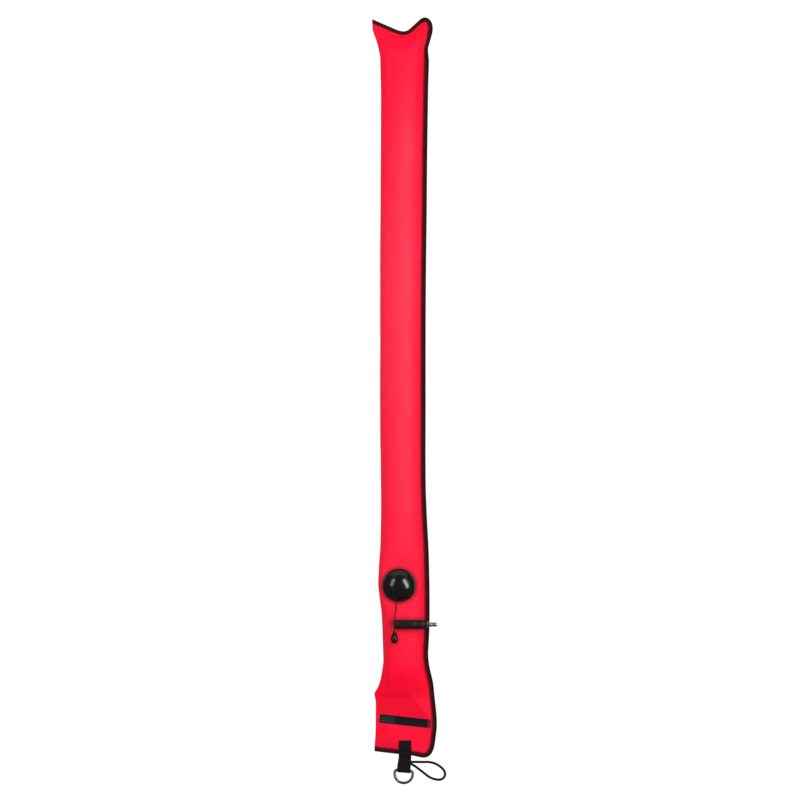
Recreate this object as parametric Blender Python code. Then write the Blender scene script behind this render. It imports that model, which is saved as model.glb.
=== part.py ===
"""Surface marker buoy: a long inflatable sleeve with a flat tail, a bound edge, a dump
valve with a pull cord, a low-pressure inflator, and a webbing tab that carries a line
ring and an elastic loop.

Metres, +Z up along the sleeve, front (valve side) towards -Y. The origin is the inside
bottom of the line ring, where the diver's line pulls.
"""

import math

import bmesh
import bpy
from mathutils import Matrix, Vector

for old in list(bpy.data.objects):
    bpy.data.objects.remove(old, do_unlink=True)

MM = 0.001

# ---------------------------------------------------------------- front-view drawing
# Outline points are given on a front-view drawing: x to the right, y down. One unit of
# the drawing is U metres, and (ORIGIN_X, ORIGIN_Y) is the part's origin.
U = 2.05 * MM
ORIGIN_X, ORIGIN_Y = 403.5, 781.8

# ---------------------------------------------------------------- driving dimensions
FABRIC = 0.8 * MM  # wall of the inflated sleeve
PLY = 0.7 * MM  # half thickness where both walls lie together
TAPE_COVER = 10.4 * MM  # how far the binding tape reaches in from the edge
TAPE_HALF = 1.9 * MM  # half thickness over the tape
TAPE_SLOT = 1.0 * MM  # half width of the slot that holds the fabric edge
TAPE_END = 1.0 * MM  # tape thickness round the edge
FIN = 12.4 * MM  # flat double-ply margin, from the outer edge to the air chamber
GAP = 0.3 * MM

FLAT_GIRTH = 2 * 113.2 * MM  # both walls of the flat sleeve, edge to edge

VALVE_X, VALVE_Y = 399.1, 585.1  # drawing position of the dump valve
VALVE_LAND_R = 34.0 * MM
VALVE_HOLE_R = 22.0 * MM
VALVE_LAND = 21.0 * MM  # height of the flat land in front of the seam plane

PORT_X, INFLATOR_Y = 398.4, 624.2  # drawing position of the inflator port and axis
PORT_LAND_R = 14.5 * MM
PORT_HOLE_R = 4.8 * MM
PORT_LAND = 25.6 * MM
INFLATOR_AXIS = 35.4 * MM  # height of the inflator's axis in front of the seam plane

STRAP_AXIS_Z = 52.2 * MM  # the tab folds about this line under the hem
RING_BAR_Z = 23.2 * MM
RING_WIRE_R = 2.25 * MM
BUNGEE_R = 1.9 * MM
PULL_CORD_R = 0.8 * MM

COLUMNS = 12  # across each wall of the sleeve


def at(x, y):
    """A point of the front-view drawing, in metres, in the seam plane."""
    return Vector(((x - ORIGIN_X) * U, 0.0, (ORIGIN_Y - y) * U))


# ---------------------------------------------------------------- materials


def material(name, colour, roughness, metallic=0.0):
    m = bpy.data.materials.new(name)
    m.use_nodes = True
    shader = m.node_tree.nodes["Principled BSDF"]
    shader.inputs["Base Color"].default_value = (*colour, 1.0)
    shader.inputs["Roughness"].default_value = roughness
    shader.inputs["Metallic"].default_value = metallic
    m.diffuse_color = (*colour, 1.0)
    return m


FLUORESCENT = material("fluorescent_fabric", (0.95, 0.02, 0.06), 0.45)
TAPE = material("binding_tape", (0.03, 0.02, 0.022), 0.8)
WEBBING = material("black_webbing", (0.02, 0.018, 0.018), 0.8)
LABEL = material("label_rubber", (0.02, 0.02, 0.025), 0.5)
STEEL = material("polished_steel", (0.62, 0.60, 0.60), 0.2, 1.0)
GLOSS = material("gloss_black_plastic", (0.012, 0.012, 0.012), 0.12)
PLASTIC = material("black_nylon", (0.03, 0.03, 0.03), 0.45)
RUBBER = material("black_rubber", (0.03, 0.028, 0.026), 0.6)
SEAL = material("seal_rubber", (0.04, 0.04, 0.04), 0.5)
SPRING = material("spring_steel", (0.55, 0.55, 0.56), 0.25, 1.0)
TPU = material("welded_film", (0.85, 0.08, 0.10), 0.4)
ELASTIC = material("elastic_cord", (0.015, 0.014, 0.016), 0.7)
BRAIDED = material("pull_line", (0.25, 0.02, 0.03), 0.7)
BRASS = material("plated_brass", (0.60, 0.52, 0.36), 0.3, 1.0)

# ---------------------------------------------------------------- object helpers


def add(name, data, mat, parent=None, smooth_deg=40.0):
    obj = bpy.data.objects.new(name, data)
    bpy.context.scene.collection.objects.link(obj)
    obj.data.materials.append(mat)
    if parent is not None:
        obj.parent = parent
    if isinstance(data, bpy.types.Mesh) and smooth_deg:
        data.shade_smooth()
        data.set_sharp_from_angle(angle=math.radians(smooth_deg))
    return obj


def empty(name, location, rotation=(0.0, 0.0, 0.0), parent=None):
    obj = bpy.data.objects.new(name, None)
    bpy.context.scene.collection.objects.link(obj)
    obj.location = location
    obj.rotation_euler = rotation
    obj.empty_display_size = 0.01
    if parent is not None:
        obj.parent = parent
    return obj


def mesh_from(bm, name):
    bmesh.ops.recalc_face_normals(bm, faces=bm.faces[:])
    data = bpy.data.meshes.new(name)
    bm.to_mesh(data)
    bm.free()
    return data


def turned_mesh(name, profile, segments, ring=False):
    """A profile of (radius, height) spun round local Z. A ring's profile is a loop that
    stays off the axis; any other profile starts and ends on it."""
    bm = bmesh.new()
    verts = [bm.verts.new((r, 0.0, h)) for r, h in profile]
    edges = [bm.edges.new(pair) for pair in zip(verts, verts[1:])]
    if ring:
        edges.append(bm.edges.new((verts[-1], verts[0])))
    bmesh.ops.spin(
        bm,
        geom=verts + edges,
        axis=(0, 0, 1),
        cent=(0, 0, 0),
        angle=2 * math.pi,
        steps=segments,
        use_merge=True,
        use_duplicate=False,
    )
    bmesh.ops.remove_doubles(bm, verts=bm.verts[:], dist=1e-6)
    return mesh_from(bm, name)


def turned(name, profile, mat, parent, segments=28, ring=False, smooth_deg=35.0):
    scaled = [(r * MM, h * MM) for r, h in profile]
    return add(name, turned_mesh(name, scaled, segments, ring), mat, parent, smooth_deg)


def cutter(name, data, parent=None):
    obj = add(name, data, PLASTIC, parent, smooth_deg=0)
    obj.hide_render = True
    obj.display_type = "WIRE"
    return obj


def boolean(obj, other, operation):
    m = obj.modifiers.new(operation.lower(), "BOOLEAN")
    m.operation = operation
    m.solver = "EXACT"
    m.object = other


def box_mesh(name, low, high):
    bm = bmesh.new()
    bmesh.ops.create_cube(bm, size=1.0)
    for v in bm.verts:
        v.co = Vector(
            (low[k] + (high[k] - low[k]) * (v.co[k] + 0.5)) * MM for k in range(3)
        )
    return mesh_from(bm, name)


def through(points, per_span):
    """Points of a smooth curve through the given ones (centripetal Catmull-Rom)."""
    pts = [Vector(p) for p in points]
    pts = [2 * pts[0] - pts[1]] + pts + [2 * pts[-1] - pts[-2]]
    out = []
    for i in range(1, len(pts) - 2):
        p0, p1, p2, p3 = pts[i - 1 : i + 3]
        t0 = 0.0
        t1 = t0 + (p1 - p0).length ** 0.5
        t2 = t1 + (p2 - p1).length ** 0.5
        t3 = t2 + (p3 - p2).length ** 0.5
        for k in range(per_span):
            t = t1 + (t2 - t1) * k / per_span
            a1 = p0 * ((t1 - t) / (t1 - t0)) + p1 * ((t - t0) / (t1 - t0))
            a2 = p1 * ((t2 - t) / (t2 - t1)) + p2 * ((t - t1) / (t2 - t1))
            a3 = p2 * ((t3 - t) / (t3 - t2)) + p3 * ((t - t2) / (t3 - t2))
            b1 = a1 * ((t2 - t) / (t2 - t0)) + a2 * ((t - t0) / (t2 - t0))
            b2 = a2 * ((t3 - t) / (t3 - t1)) + a3 * ((t - t1) / (t3 - t1))
            out.append(b1 * ((t2 - t) / (t2 - t1)) + b2 * ((t - t1) / (t2 - t1)))
    out.append(pts[-2].copy())
    return out


def spaced(points, step):
    """The same curve read at even steps along its length."""
    run = [0.0]
    for a, b in zip(points, points[1:]):
        run.append(run[-1] + (b - a).length)
    count = max(2, round(run[-1] / step))
    out, k = [], 0
    for i in range(count + 1):
        s = run[-1] * i / count
        while k < len(run) - 2 and run[k + 1] < s:
            k += 1
        f = (s - run[k]) / max(run[k + 1] - run[k], 1e-12)
        out.append(points[k].lerp(points[k + 1], min(max(f, 0.0), 1.0)))
    return out


def tube(name, points, radius, mat, parent=None, cyclic=False, resolution=2):
    data = bpy.data.curves.new(name, "CURVE")
    data.dimensions = "3D"
    data.bevel_depth = radius
    data.bevel_resolution = resolution
    data.use_fill_caps = not cyclic
    spline = data.splines.new("POLY")
    spline.points.add(len(points) - 1)
    for p, co in zip(spline.points, points):
        p.co = (*co, 1.0)
    spline.use_cyclic_u = cyclic
    spline.use_smooth = True
    return add(name, data, mat, parent)


def coil(name, radius, wire, start, end, turns, per_turn, mat, parent):
    count = round(turns * per_turn)
    points = []
    for i in range(count + 1):
        f = i / count
        angle = 2 * math.pi * turns * f
        # The end turns lie flat, as on a ground spring.
        lift = min(max((f * turns - 0.7) / (turns - 1.4), 0.0), 1.0)
        points.append(
            (
                radius * math.cos(angle) * MM,
                radius * math.sin(angle) * MM,
                (start + wire + (end - start - 2 * wire) * lift) * MM,
            )
        )
    return tube(name, points, wire * MM, mat, parent, resolution=1)


# ---------------------------------------------------------------- outline of the sleeve
# Left edge: a fold of the fabric, x against y down the drawing.
LEFT = [
    (372.7, 24.5), (372.4, 28.5), (373.2, 32.0), (375.0, 36.5), (377.3, 43.5),
    (379.1, 51.5), (380.2, 57.0), (380.3, 63.0), (380.7, 75.0), (380.9, 95.0),
    (381.0, 110.0), (380.7, 160.0), (380.4, 210.0), (380.1, 260.0), (380.1, 310.0),
    (380.1, 410.0), (380.6, 460.0), (380.9, 485.0), (381.0, 510.0), (380.7, 530.0),
    (380.3, 545.0), (379.5, 558.0), (378.9, 569.0), (378.3, 580.0), (378.4, 587.0),
    (379.3, 595.0), (380.3, 603.0), (381.3, 611.0), (381.9, 620.0), (382.6, 635.0),
    (382.9, 647.0), (383.2, 657.0), (383.1, 662.5), (382.4, 667.5), (381.6, 672.5),
    (380.9, 677.0), (379.8, 681.5), (378.2, 686.5), (375.9, 690.5), (374.3, 693.5),
    (374.8, 697.0), (375.6, 701.0), (375.8, 707.0), (375.7, 716.0), (375.6, 728.0),
    (375.2, 738.0), (374.6, 746.6),
]  # fmt: skip
# Top edge, from the left tip over the notch to the right ear.
TOP = [
    (372.2, 19.2), (380.5, 22.7), (388.7, 26.3), (399.6, 31.0), (403.8, 31.7),
    (407.3, 30.5), (410.5, 28.1), (416.3, 22.8), (421.0, 18.7), (424.3, 17.2),
]  # fmt: skip
# The right ear, from its apex down to the waist.
EAR = [
    (424.3, 17.2), (427.6, 18.0), (430.2, 20.0), (432.0, 23.2), (432.8, 27.5),
    (432.5, 32.0), (431.3, 37.0), (429.6, 43.0), (428.1, 48.8), (428.5, 55.0),
    (429.0, 60.5),
]  # fmt: skip
# Right edge below the ear, x against y.
RIGHT = [
    (429.0, 60.5), (428.8, 70.0), (428.3, 85.0), (427.9, 110.0), (427.2, 160.0),
    (426.8, 210.0), (426.2, 260.0), (425.8, 310.0), (425.7, 360.0), (425.7, 410.0),
    (425.6, 460.0), (425.8, 485.0), (426.6, 510.0), (427.4, 526.0), (428.2, 541.0),
    (428.9, 556.0), (429.3, 575.0), (429.6, 590.0), (429.7, 610.0), (429.6, 620.0),
    (429.2, 635.0), (428.6, 645.0), (428.2, 653.0), (428.5, 659.0), (429.2, 665.0),
    (430.3, 670.5), (431.8, 676.5), (433.0, 682.0), (433.7, 687.0), (434.2, 692.5),
    (434.9, 699.0), (435.8, 707.0), (436.5, 714.0), (436.9, 721.0), (436.8, 728.0),
    (436.2, 734.0), (435.3, 740.5), (434.6, 745.5), (433.4, 750.0), (430.9, 754.5),
]  # fmt: skip
# Bottom edge, from its left end to the rounded corner.
BOTTOM = [
    (374.5, 750.9), (385.0, 752.2), (397.7, 753.7), (411.5, 755.4), (418.0, 756.8),
    (423.0, 757.7), (427.5, 756.9), (430.9, 754.5),
]  # fmt: skip

# Heights of the rows down the sleeve below the ear, on the drawing.
ROWS = [
    67.0, 76.0, 92.0, 125.0, 180.0, 250.0, 320.0, 390.0, 450.0, 490.0, 520.0, 543.0,
    562.0, 571.0, 580.0, 590.0, 599.0, 608.0, 614.0, 620.5, 628.5, 635.0, 643.0,
    650.0, 656.0, 662.0, 668.0, 674.0, 680.0, 686.0, 691.0, 695.0, 701.0, 708.0,
    717.0, 728.0, 739.0,
]  # fmt: skip
VALVE_ROWS = (562.0, 608.0)
VALVE_COLUMNS = (2, 9)
PORT_ROWS = (614.0, 635.0)
PORT_COLUMNS = (3, 7)
WELD_Y = 694.0  # the air chamber ends here, and the flat tail begins
LAST_Y = (746.6, 754.5)  # left and right ends of the last row


def value_at(table, y):
    """Smooth x at height y, through a table of (x, y)."""
    k = 0
    while k < len(table) - 2 and table[k + 1][1] < y:
        k += 1

    def slope(i):
        a, b = table[max(i - 1, 0)], table[min(i + 1, len(table) - 1)]
        return (b[0] - a[0]) / (b[1] - a[1])

    (x0, y0), (x1, y1) = table[k], table[k + 1]
    w = y1 - y0
    t = min(max((y - y0) / w, 0.0), 1.0)
    return (
        x0 * (2 * t**3 - 3 * t**2 + 1)
        + x1 * (3 * t**2 - 2 * t**3)
        + w * slope(k) * (t**3 - 2 * t**2 + t)
        + w * slope(k + 1) * (t**3 - t**2)
    )


def at_fractions(table, fractions):
    """Points of the smooth curve through a table, at fractions of its width."""
    curve = through([(x, y) for x, y in table], 16)
    x0, x1 = curve[0].x, curve[-1].x
    out = []
    for f in fractions:
        x = x0 + (x1 - x0) * f
        k = 0
        while k < len(curve) - 2 and curve[k + 1].x < x:
            k += 1
        a, b = curve[k], curve[k + 1]
        t = min(max((x - a.x) / (b.x - a.x), 0.0), 1.0)
        out.append((x, a.y + (b.y - a.y) * t))
    return out


PHI = [math.pi * j / COLUMNS for j in range(COLUMNS + 1)]
ACROSS = [(1 - math.cos(p)) / 2 for p in PHI]

ear_points = [(p.x, p.y) for p in spaced(through(EAR, 12), 4.6)]
right_points = list(ear_points)
for y in ROWS:
    # The lower rows run down to the right, parallel to the hem.
    lean = 7.9 * min(max((y - 694.0) / 52.0, 0.0), 1.0)
    yr = y + lean
    right_points.append((value_at(RIGHT, yr), yr))
right_points.append(RIGHT[-1])
row_count = len(right_points)  # lens rows 0 .. row_count - 1
ear_rows = len(ear_points)

left_points = []
for i in range(ear_rows):
    y = LEFT[0][1] + (60.5 - LEFT[0][1]) * i / (ear_rows - 1)
    left_points.append((value_at(LEFT, y), y))
for y in ROWS:
    left_points.append((value_at(LEFT, y), y))
left_points.append(LEFT[-1])

top_points = at_fractions(TOP, ACROSS)
bottom_points = at_fractions(BOTTOM, ACROSS)

# The edge path runs from the left tip along the top, down the right side and back along
# the bottom.
edge_path = (
    [p for p in top_points]
    + [p for p in right_points[1:]]
    + [p for p in reversed(bottom_points[:-1])]
)


class Station:
    """A place on the bound edge: its outermost point and the way inwards along the flat
    margin."""

    def __init__(self, index):
        x, y = edge_path[index]
        last = len(edge_path) - 1
        a = Vector(edge_path[max(index - 1, 0)])
        b = Vector(edge_path[min(index + 1, last)])
        t = (b - a).normalized()
        inward = Vector((-t.y, t.x))  # drawing axes, y down
        if index == 0:
            inward = Vector((0.0, 1.0)) / abs(inward.y)
        elif index == last:
            inward = Vector((0.0, -1.0)) / abs(inward.y)
        self.inward = Vector((inward.x, 0.0, -inward.y))
        self.edge = at(x, y)

    def point(self, inwards, forwards):
        return self.edge + self.inward * inwards + Vector((0.0, -forwards, 0.0))


stations = [Station(i) for i in range(len(edge_path))]
top_stations = stations[: COLUMNS + 1]
right_stations = stations[COLUMNS : COLUMNS + row_count]
bottom_stations = list(reversed(stations[COLUMNS + row_count - 1 :]))


def half_depth(half_width):
    """The girth of the sleeve is fixed, so where it is narrow it is round, and where it
    is flat it is wide: the half depth of an ellipse of that half width and girth."""
    if 4 * half_width >= FLAT_GIRTH:
        return 0.0
    low, high = 0.0, half_width
    for _ in range(40):
        b = (low + high) / 2
        a = half_width
        girth = math.pi * (3 * (a + b) - math.sqrt((3 * a + b) * (a + 3 * b)))
        girth = max(girth, 4 * math.hypot(a, b) if b < 0.15 * a else 0.0)
        if girth < FLAT_GIRTH:
            low = b
        else:
            high = b
    return (low + high) / 2


def pillow(distance, reach, depth):
    """How far a wall stands off near a closed end."""
    t = min(max(distance / reach, 0.0), 1.0)
    return depth * math.sqrt(max(0.0, 1 - (1 - t) ** 2))


row_y = [p[1] for p in left_points]
top_in = [s.point(FIN, 0.0) for s in top_stations]
bottom_in = [s.point(FIN, 0.0) for s in bottom_stations]
right_in = [s.point(FIN, 0.0) for s in right_stations]

middle = []  # middle[i][j]: the seam-plane point of each grid place
depths = []  # half depth of each row
for i in range(row_count):
    left = at(*left_points[i])
    right = right_in[i]
    if i == 0:
        left = top_in[0]
    if i == row_count - 1:
        left = bottom_in[0]
    f_top = min(max(1 - (row_y[i] - row_y[0]) / 42.0, 0.0), 1.0) ** 1.5
    f_bottom = min(max((row_y[i] - 694.0) / (LAST_Y[0] - 694.0), 0.0), 1.0) ** 1.3
    row = []
    for j, f in enumerate(ACROSS):
        p = left.lerp(right, f)
        p += (top_in[j] - top_in[0].lerp(top_in[-1], f)) * f_top
        p += (bottom_in[j] - bottom_in[0].lerp(bottom_in[-1], f)) * f_bottom
        p.y = 0.0
        row.append(p)
    middle.append(row)
    half = (right.x - left.x) / 2
    centre = row[COLUMNS // 2]
    from_top = (top_in[COLUMNS // 2] - centre).length
    from_weld = max((WELD_Y - row_y[i]) * U, 0.0)
    depths.append(
        min(
            half_depth(half),
            pillow(from_top, 60 * MM, 30 * MM),
            pillow(from_weld, 95 * MM, 31 * MM),
        )
    )


def blend(t):
    t = min(max(t, 0.0), 1.0)
    return t * t * (3 - 2 * t)


def nearest_edge(p):
    """The bound edge's point nearest to a seam-plane point."""
    best = None
    for one, two in zip(stations, stations[1:]):
        d = two.edge - one.edge
        t = min(max((p - one.edge).dot(d) / d.length_squared, 0.0), 1.0)
        q = one.edge + d * t
        if best is None or (p - q).length < (p - best).length:
            best = q
    return best


# Grid places between the edges keep clear of the flat margin.
for row in middle[1:-1]:
    for j in range(1, COLUMNS):
        q = nearest_edge(row[j])
        if (row[j] - q).length < FIN + 2.5 * MM:
            row[j] = q + (row[j] - q).normalized() * (FIN + 2.5 * MM)
margins = [[(p - nearest_edge(p)).length - FIN for p in row] for row in middle]


def wall_height(i, j, front):
    """Distance of a wall from the seam plane."""
    if j == 0:
        return 0.0
    if j == COLUMNS:
        return PLY
    near_edge = pillow(margins[i][j] - 0.5 * MM, 42 * MM, 32 * MM)
    h = PLY + min(depths[i] * math.sin(PHI[j]), near_edge)
    if front:
        # The inflator barrel lies against the front and presses it in.
        away = abs(row_y[i] - INFLATOR_Y)
        pressed = min(h, PORT_LAND + 0.5 * MM)
        h += (pressed - h) * (1 - blend((away - 9.0) / 9.0))
    return h


inner_rows = [i for i in range(row_count) if depths[i] > 4 * MM]
inner_first, inner_last = inner_rows[0], inner_rows[-1]


def inner_point(i, j, front):
    """The inside of a wall."""
    row = middle[i]
    centre = row[COLUMNS // 2]
    half = (row[-1] - row[0]).length / 2
    p = row[j].copy()
    p.x = centre.x + (p.x - centre.x) * (half - 1.3 * MM) / half
    p.z = centre.z + (p.z - centre.z) * (half - 1.3 * MM) / half
    if 0 < j < COLUMNS:
        h = wall_height(i, j, front) - FABRIC
        p.y = -h if front else h
    return p


def region_loop(rows, columns):
    """The grid places round a rectangle of rows and columns, in order."""
    (r0, r1), (c0, c1) = rows, columns
    loop = [(r0, c) for c in range(c0, c1)]
    loop += [(r, c1) for r in range(r0, r1)]
    loop += [(r1, c) for c in range(c1, c0, -1)]
    loop += [(r, c0) for r in range(r1, r0, -1)]
    return loop


def index_of(y):
    return min(range(row_count), key=lambda i: abs(row_y[i] - y))


class Land:
    """A flat round land in the front wall, with a hole in it, where a fitting sits."""

    def __init__(self, centre, radius, hole, height, rows, columns):
        self.centre, self.radius, self.hole, self.height = centre, radius, hole, height
        self.rows = (index_of(rows[0]), index_of(rows[1]))
        self.columns = columns
        self.loop = region_loop(self.rows, columns)
        # The first loop place is the region's upper left corner, so the circles start
        # at the same angle and turn the same way.
        i, j = self.loop[0]
        d = middle[i][j] - centre
        self.start = math.atan2(d.z, d.x)

    def covers(self, i, j):
        return (
            self.rows[0] <= i < self.rows[1] and self.columns[0] <= j < self.columns[1]
        )

    def inside(self, i, j):
        return (
            self.rows[0] < i < self.rows[1] and self.columns[0] < j < self.columns[1]
        )

    def circle(self, radius, height):
        n = len(self.loop)
        return [
            self.centre
            + Vector(
                (
                    radius * math.cos(self.start - 2 * math.pi * k / n),
                    -height,
                    radius * math.sin(self.start - 2 * math.pi * k / n),
                )
            )
            for k in range(n)
        ]


valve_centre = at(VALVE_X, VALVE_Y)
port_centre = at(PORT_X, INFLATOR_Y)
lands = [
    Land(valve_centre, VALVE_LAND_R, VALVE_HOLE_R, VALVE_LAND, VALVE_ROWS, VALVE_COLUMNS),
    Land(port_centre, PORT_LAND_R, PORT_HOLE_R, PORT_LAND, PORT_ROWS, PORT_COLUMNS),
]  # fmt: skip


def sleeve_mesh():
    bm = bmesh.new()
    new = bm.verts.new

    def skin(first, last, place):
        """Both walls of a closed bag, sharing the vertices that place() says they share,
        with the lands' regions left open in the front."""
        front, back = {}, {}
        for i in range(first, last + 1):
            for j in range(COLUMNS + 1):
                if not any(land.inside(i, j) for land in lands):
                    front[i, j] = new(place(i, j, True))
                shared = j == 0 or place(i, j, True) == place(i, j, False)
                back[i, j] = front[i, j] if shared else new(place(i, j, False))
        for i in range(first, last):
            for j in range(COLUMNS):
                if not any(land.covers(i, j) for land in lands):
                    bm.faces.new(
                        (front[i, j], front[i, j + 1], front[i + 1, j + 1], front[i + 1, j])
                    )
                bm.faces.new(
                    (back[i, j], back[i + 1, j], back[i + 1, j + 1], back[i, j + 1])
                )
        return front, back

    def outer_point(i, j, front):
        h = wall_height(i, j, front)
        p = middle[i][j].copy()
        p.y = -h if front else h
        if j == COLUMNS:
            p = right_stations[i].point(FIN, h if front else -h)
        elif j and i == 0:
            p = top_stations[j].point(FIN, PLY if front else -PLY)
        elif j and i == row_count - 1:
            p = bottom_stations[j].point(FIN, PLY if front else -PLY)
        return p

    outer_front, outer_back = skin(0, row_count - 1, outer_point)
    inner_front, inner_back = skin(inner_first, inner_last, inner_point)

    # The flat margin round the top, right and bottom, out to the fabric's own edge.
    inside_places = (
        [(0, j) for j in range(COLUMNS + 1)]
        + [(i, COLUMNS) for i in range(1, row_count)]
        + [(row_count - 1, j) for j in range(COLUMNS - 1, -1, -1)]
    )
    edge_front = [new(s.point(TAPE_END + GAP, PLY)) for s in stations]
    edge_back = [new(s.point(TAPE_END + GAP, -PLY)) for s in stations]
    for k in range(len(stations) - 1):
        p, q = inside_places[k], inside_places[k + 1]
        bm.faces.new((outer_front[p], edge_front[k], edge_front[k + 1], outer_front[q]))
        bm.faces.new((outer_back[p], outer_back[q], edge_back[k + 1], edge_back[k]))
        bm.faces.new((edge_front[k], edge_back[k], edge_back[k + 1], edge_front[k + 1]))
    for k in (0, -1):
        bm.faces.new((outer_front[inside_places[k]], edge_front[k], edge_back[k]))

    # The closed ends of the air chamber.
    for i in (inner_first, inner_last):
        for j in range(COLUMNS):
            corners = []
            for v in (
                inner_front[i, j],
                inner_front[i, j + 1],
                inner_back[i, j + 1],
                inner_back[i, j],
            ):
                if v not in corners:
                    corners.append(v)
            bm.faces.new(corners)

    # Each land: the wall runs up to a flat ring, and the hole joins outside and inside.
    for land in lands:
        n = len(land.loop)
        rings = []
        for front, radius, height in (
            (outer_front, land.radius, land.height),
            (inner_front, land.radius - FABRIC, land.height - FABRIC),
        ):
            loop = [front[p] for p in land.loop]
            rim = [new(p) for p in land.circle(radius, height)]
            hole = [new(p) for p in land.circle(land.hole, height)]
            for k in range(n):
                m = (k + 1) % n
                bm.faces.new((loop[k], loop[m], rim[m], rim[k]))
                bm.faces.new((rim[k], rim[m], hole[m], hole[k]))
            rings.append(hole)
        for k in range(n):
            m = (k + 1) % n
            bm.faces.new((rings[0][k], rings[0][m], rings[1][m], rings[1][k]))
    return mesh_from(bm, "bladder_shell")


add("bladder_shell", sleeve_mesh(), FLUORESCENT, smooth_deg=50.0)


# ---------------------------------------------------------------- binding tape
def tape_mesh():
    """A folded tape: a channel swept along the edge, open towards the fabric."""
    section = [
        (0.0, -TAPE_HALF + 0.7 * MM),
        (0.5 * MM, -TAPE_HALF),
        (TAPE_COVER, -TAPE_HALF),
        (TAPE_COVER, -TAPE_SLOT),
        (TAPE_END, -TAPE_SLOT),
        (TAPE_END, TAPE_SLOT),
        (TAPE_COVER, TAPE_SLOT),
        (TAPE_COVER, TAPE_HALF),
        (0.5 * MM, TAPE_HALF),
        (0.0, TAPE_HALF - 0.7 * MM),
    ]
    bm = bmesh.new()
    loops = [[bm.verts.new(s.point(a, b)) for a, b in section] for s in stations]
    n = len(section)
    for one, two in zip(loops, loops[1:]):
        for k in range(n):
            m = (k + 1) % n
            bm.faces.new((one[k], one[m], two[m], two[k]))
    bm.faces.new(loops[0])
    bm.faces.new(loops[-1])
    return mesh_from(bm, "edge_binding")


add("edge_binding", tape_mesh(), TAPE, smooth_deg=30.0)

# ---------------------------------------------------------------- label strip
LABEL_SIZE = (99.0, 17.6, 0.8)  # mm
LABEL_TILT = math.radians(6.4)
label_frame = empty(
    "label_frame",
    at(403.6, 720.9) + Vector((0.0, -(PLY + GAP), 0.0)),
    (math.pi / 2, 0.0, 0.0),
)


def label_mesh():
    w, d, t = (v * MM for v in LABEL_SIZE)
    r = 1.6 * MM
    bm = bmesh.new()
    outline = []
    for cx, cy, start in (
        (w / 2 - r, d / 2 - r, 0),
        (-w / 2 + r, d / 2 - r, 90),
        (-w / 2 + r, -d / 2 + r, 180),
        (w / 2 - r, -d / 2 + r, 270),
    ):
        for k in range(4):
            angle = math.radians(start + 30 * k)
            outline.append((cx + r * math.cos(angle), cy + r * math.sin(angle)))
    turn = Matrix.Rotation(-LABEL_TILT, 3, "Z")
    low = [bm.verts.new(turn @ Vector((x, y, 0.0))) for x, y in outline]
    face = bm.faces.new(low)
    top = bmesh.ops.extrude_face_region(bm, geom=[face])
    moved = [g for g in top["geom"] if isinstance(g, bmesh.types.BMVert)]
    bmesh.ops.translate(bm, verts=moved, vec=(0, 0, t))
    return mesh_from(bm, "label_strip")


add("label_strip", label_mesh(), LABEL, label_frame, smooth_deg=30.0)


# ---------------------------------------------------------------- webbing tab
def prism(name, profile, left, right, mat, parent=None, mirror=False):
    """A profile of (forward, up) in mm, drawn along X from left(z) to right(z)."""
    bm = bmesh.new()
    side = 1.0 if mirror else -1.0
    sides = []
    for edge in (left, right):
        sides.append(
            [bm.verts.new((edge(z) * MM, side * h * MM, z * MM)) for h, z in profile]
        )
    n = len(profile)
    for k in range(n):
        m = (k + 1) % n
        bm.faces.new((sides[0][k], sides[0][m], sides[1][m], sides[1][k]))
    bm.faces.new(sides[0])
    bm.faces.new(sides[1])
    return add(name, mesh_from(bm, name), mat, parent, smooth_deg=30.0)


STRAP_LEFT, STRAP_RIGHT = -9.8, 15.2  # mm, 25 mm webbing
PATCH = [
    (1.0, 84.9), (2.5, 84.9), (2.5, 70.2), (3.7, 68.6), (3.7, 54.4), (2.2, 54.4),
    (2.2, 68.9), (1.0, 70.5),
]  # fmt: skip
for name, mirror in (("strap_front_patch", False), ("strap_back_patch", True)):
    prism(name, PATCH, lambda z: STRAP_LEFT, lambda z: STRAP_RIGHT, WEBBING, None, mirror)

strap_hinge = empty("strap_hinge", (0.0, 0.0, STRAP_AXIS_Z))
FOLD = RING_BAR_Z / MM - STRAP_AXIS_Z / MM  # the ring's bar, below the tab's fold line


def strap_mesh():
    """The hanging tab: two plies of webbing, sewn together under the hem, that hold the
    elastic's ends and fold round the ring's bar."""
    outer = [
        (0.0, 1.6), (1.13, 1.13), (1.6, 0.0), (1.6, -4.7), (4.1, -8.6), (4.1, FOLD),
        (3.55, FOLD - 2.05), (2.05, FOLD - 3.55), (0.0, FOLD - 4.1),
    ]  # fmt: skip
    inner = [
        (0.0, -6.7), (0.5, -6.9), (1.1, -7.2), (1.8, -7.8), (2.6, -8.6), (2.6, FOLD),
        (2.25, FOLD - 1.3), (1.3, FOLD - 2.25), (0.0, FOLD - 2.6),
    ]  # fmt: skip

    def whole(half):
        return half + [(-h, z) for h, z in reversed(half[1:-1])]

    def edges(z):
        f = min(max(-z / 33.0, 0.0), 1.0)
        return (STRAP_LEFT + (-12.4 - STRAP_LEFT) * f, STRAP_RIGHT + (13.4 - STRAP_RIGHT) * f)

    bm = bmesh.new()
    loops = []
    for side in (0, 1):
        for profile in (whole(outer), whole(inner)):
            loops.append(
                [bm.verts.new((edges(z)[side] * MM, -h * MM, z * MM)) for h, z in profile]
            )
    n = len(loops[0])
    for a, b in ((0, 1), (2, 3), (0, 2), (1, 3)):
        for k in range(n):
            m = (k + 1) % n
            bm.faces.new((loops[a][k], loops[a][m], loops[b][m], loops[b][k]))
    return mesh_from(bm, "strap_loop")


add("strap_loop", strap_mesh(), WEBBING, strap_hinge, smooth_deg=35.0)

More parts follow.
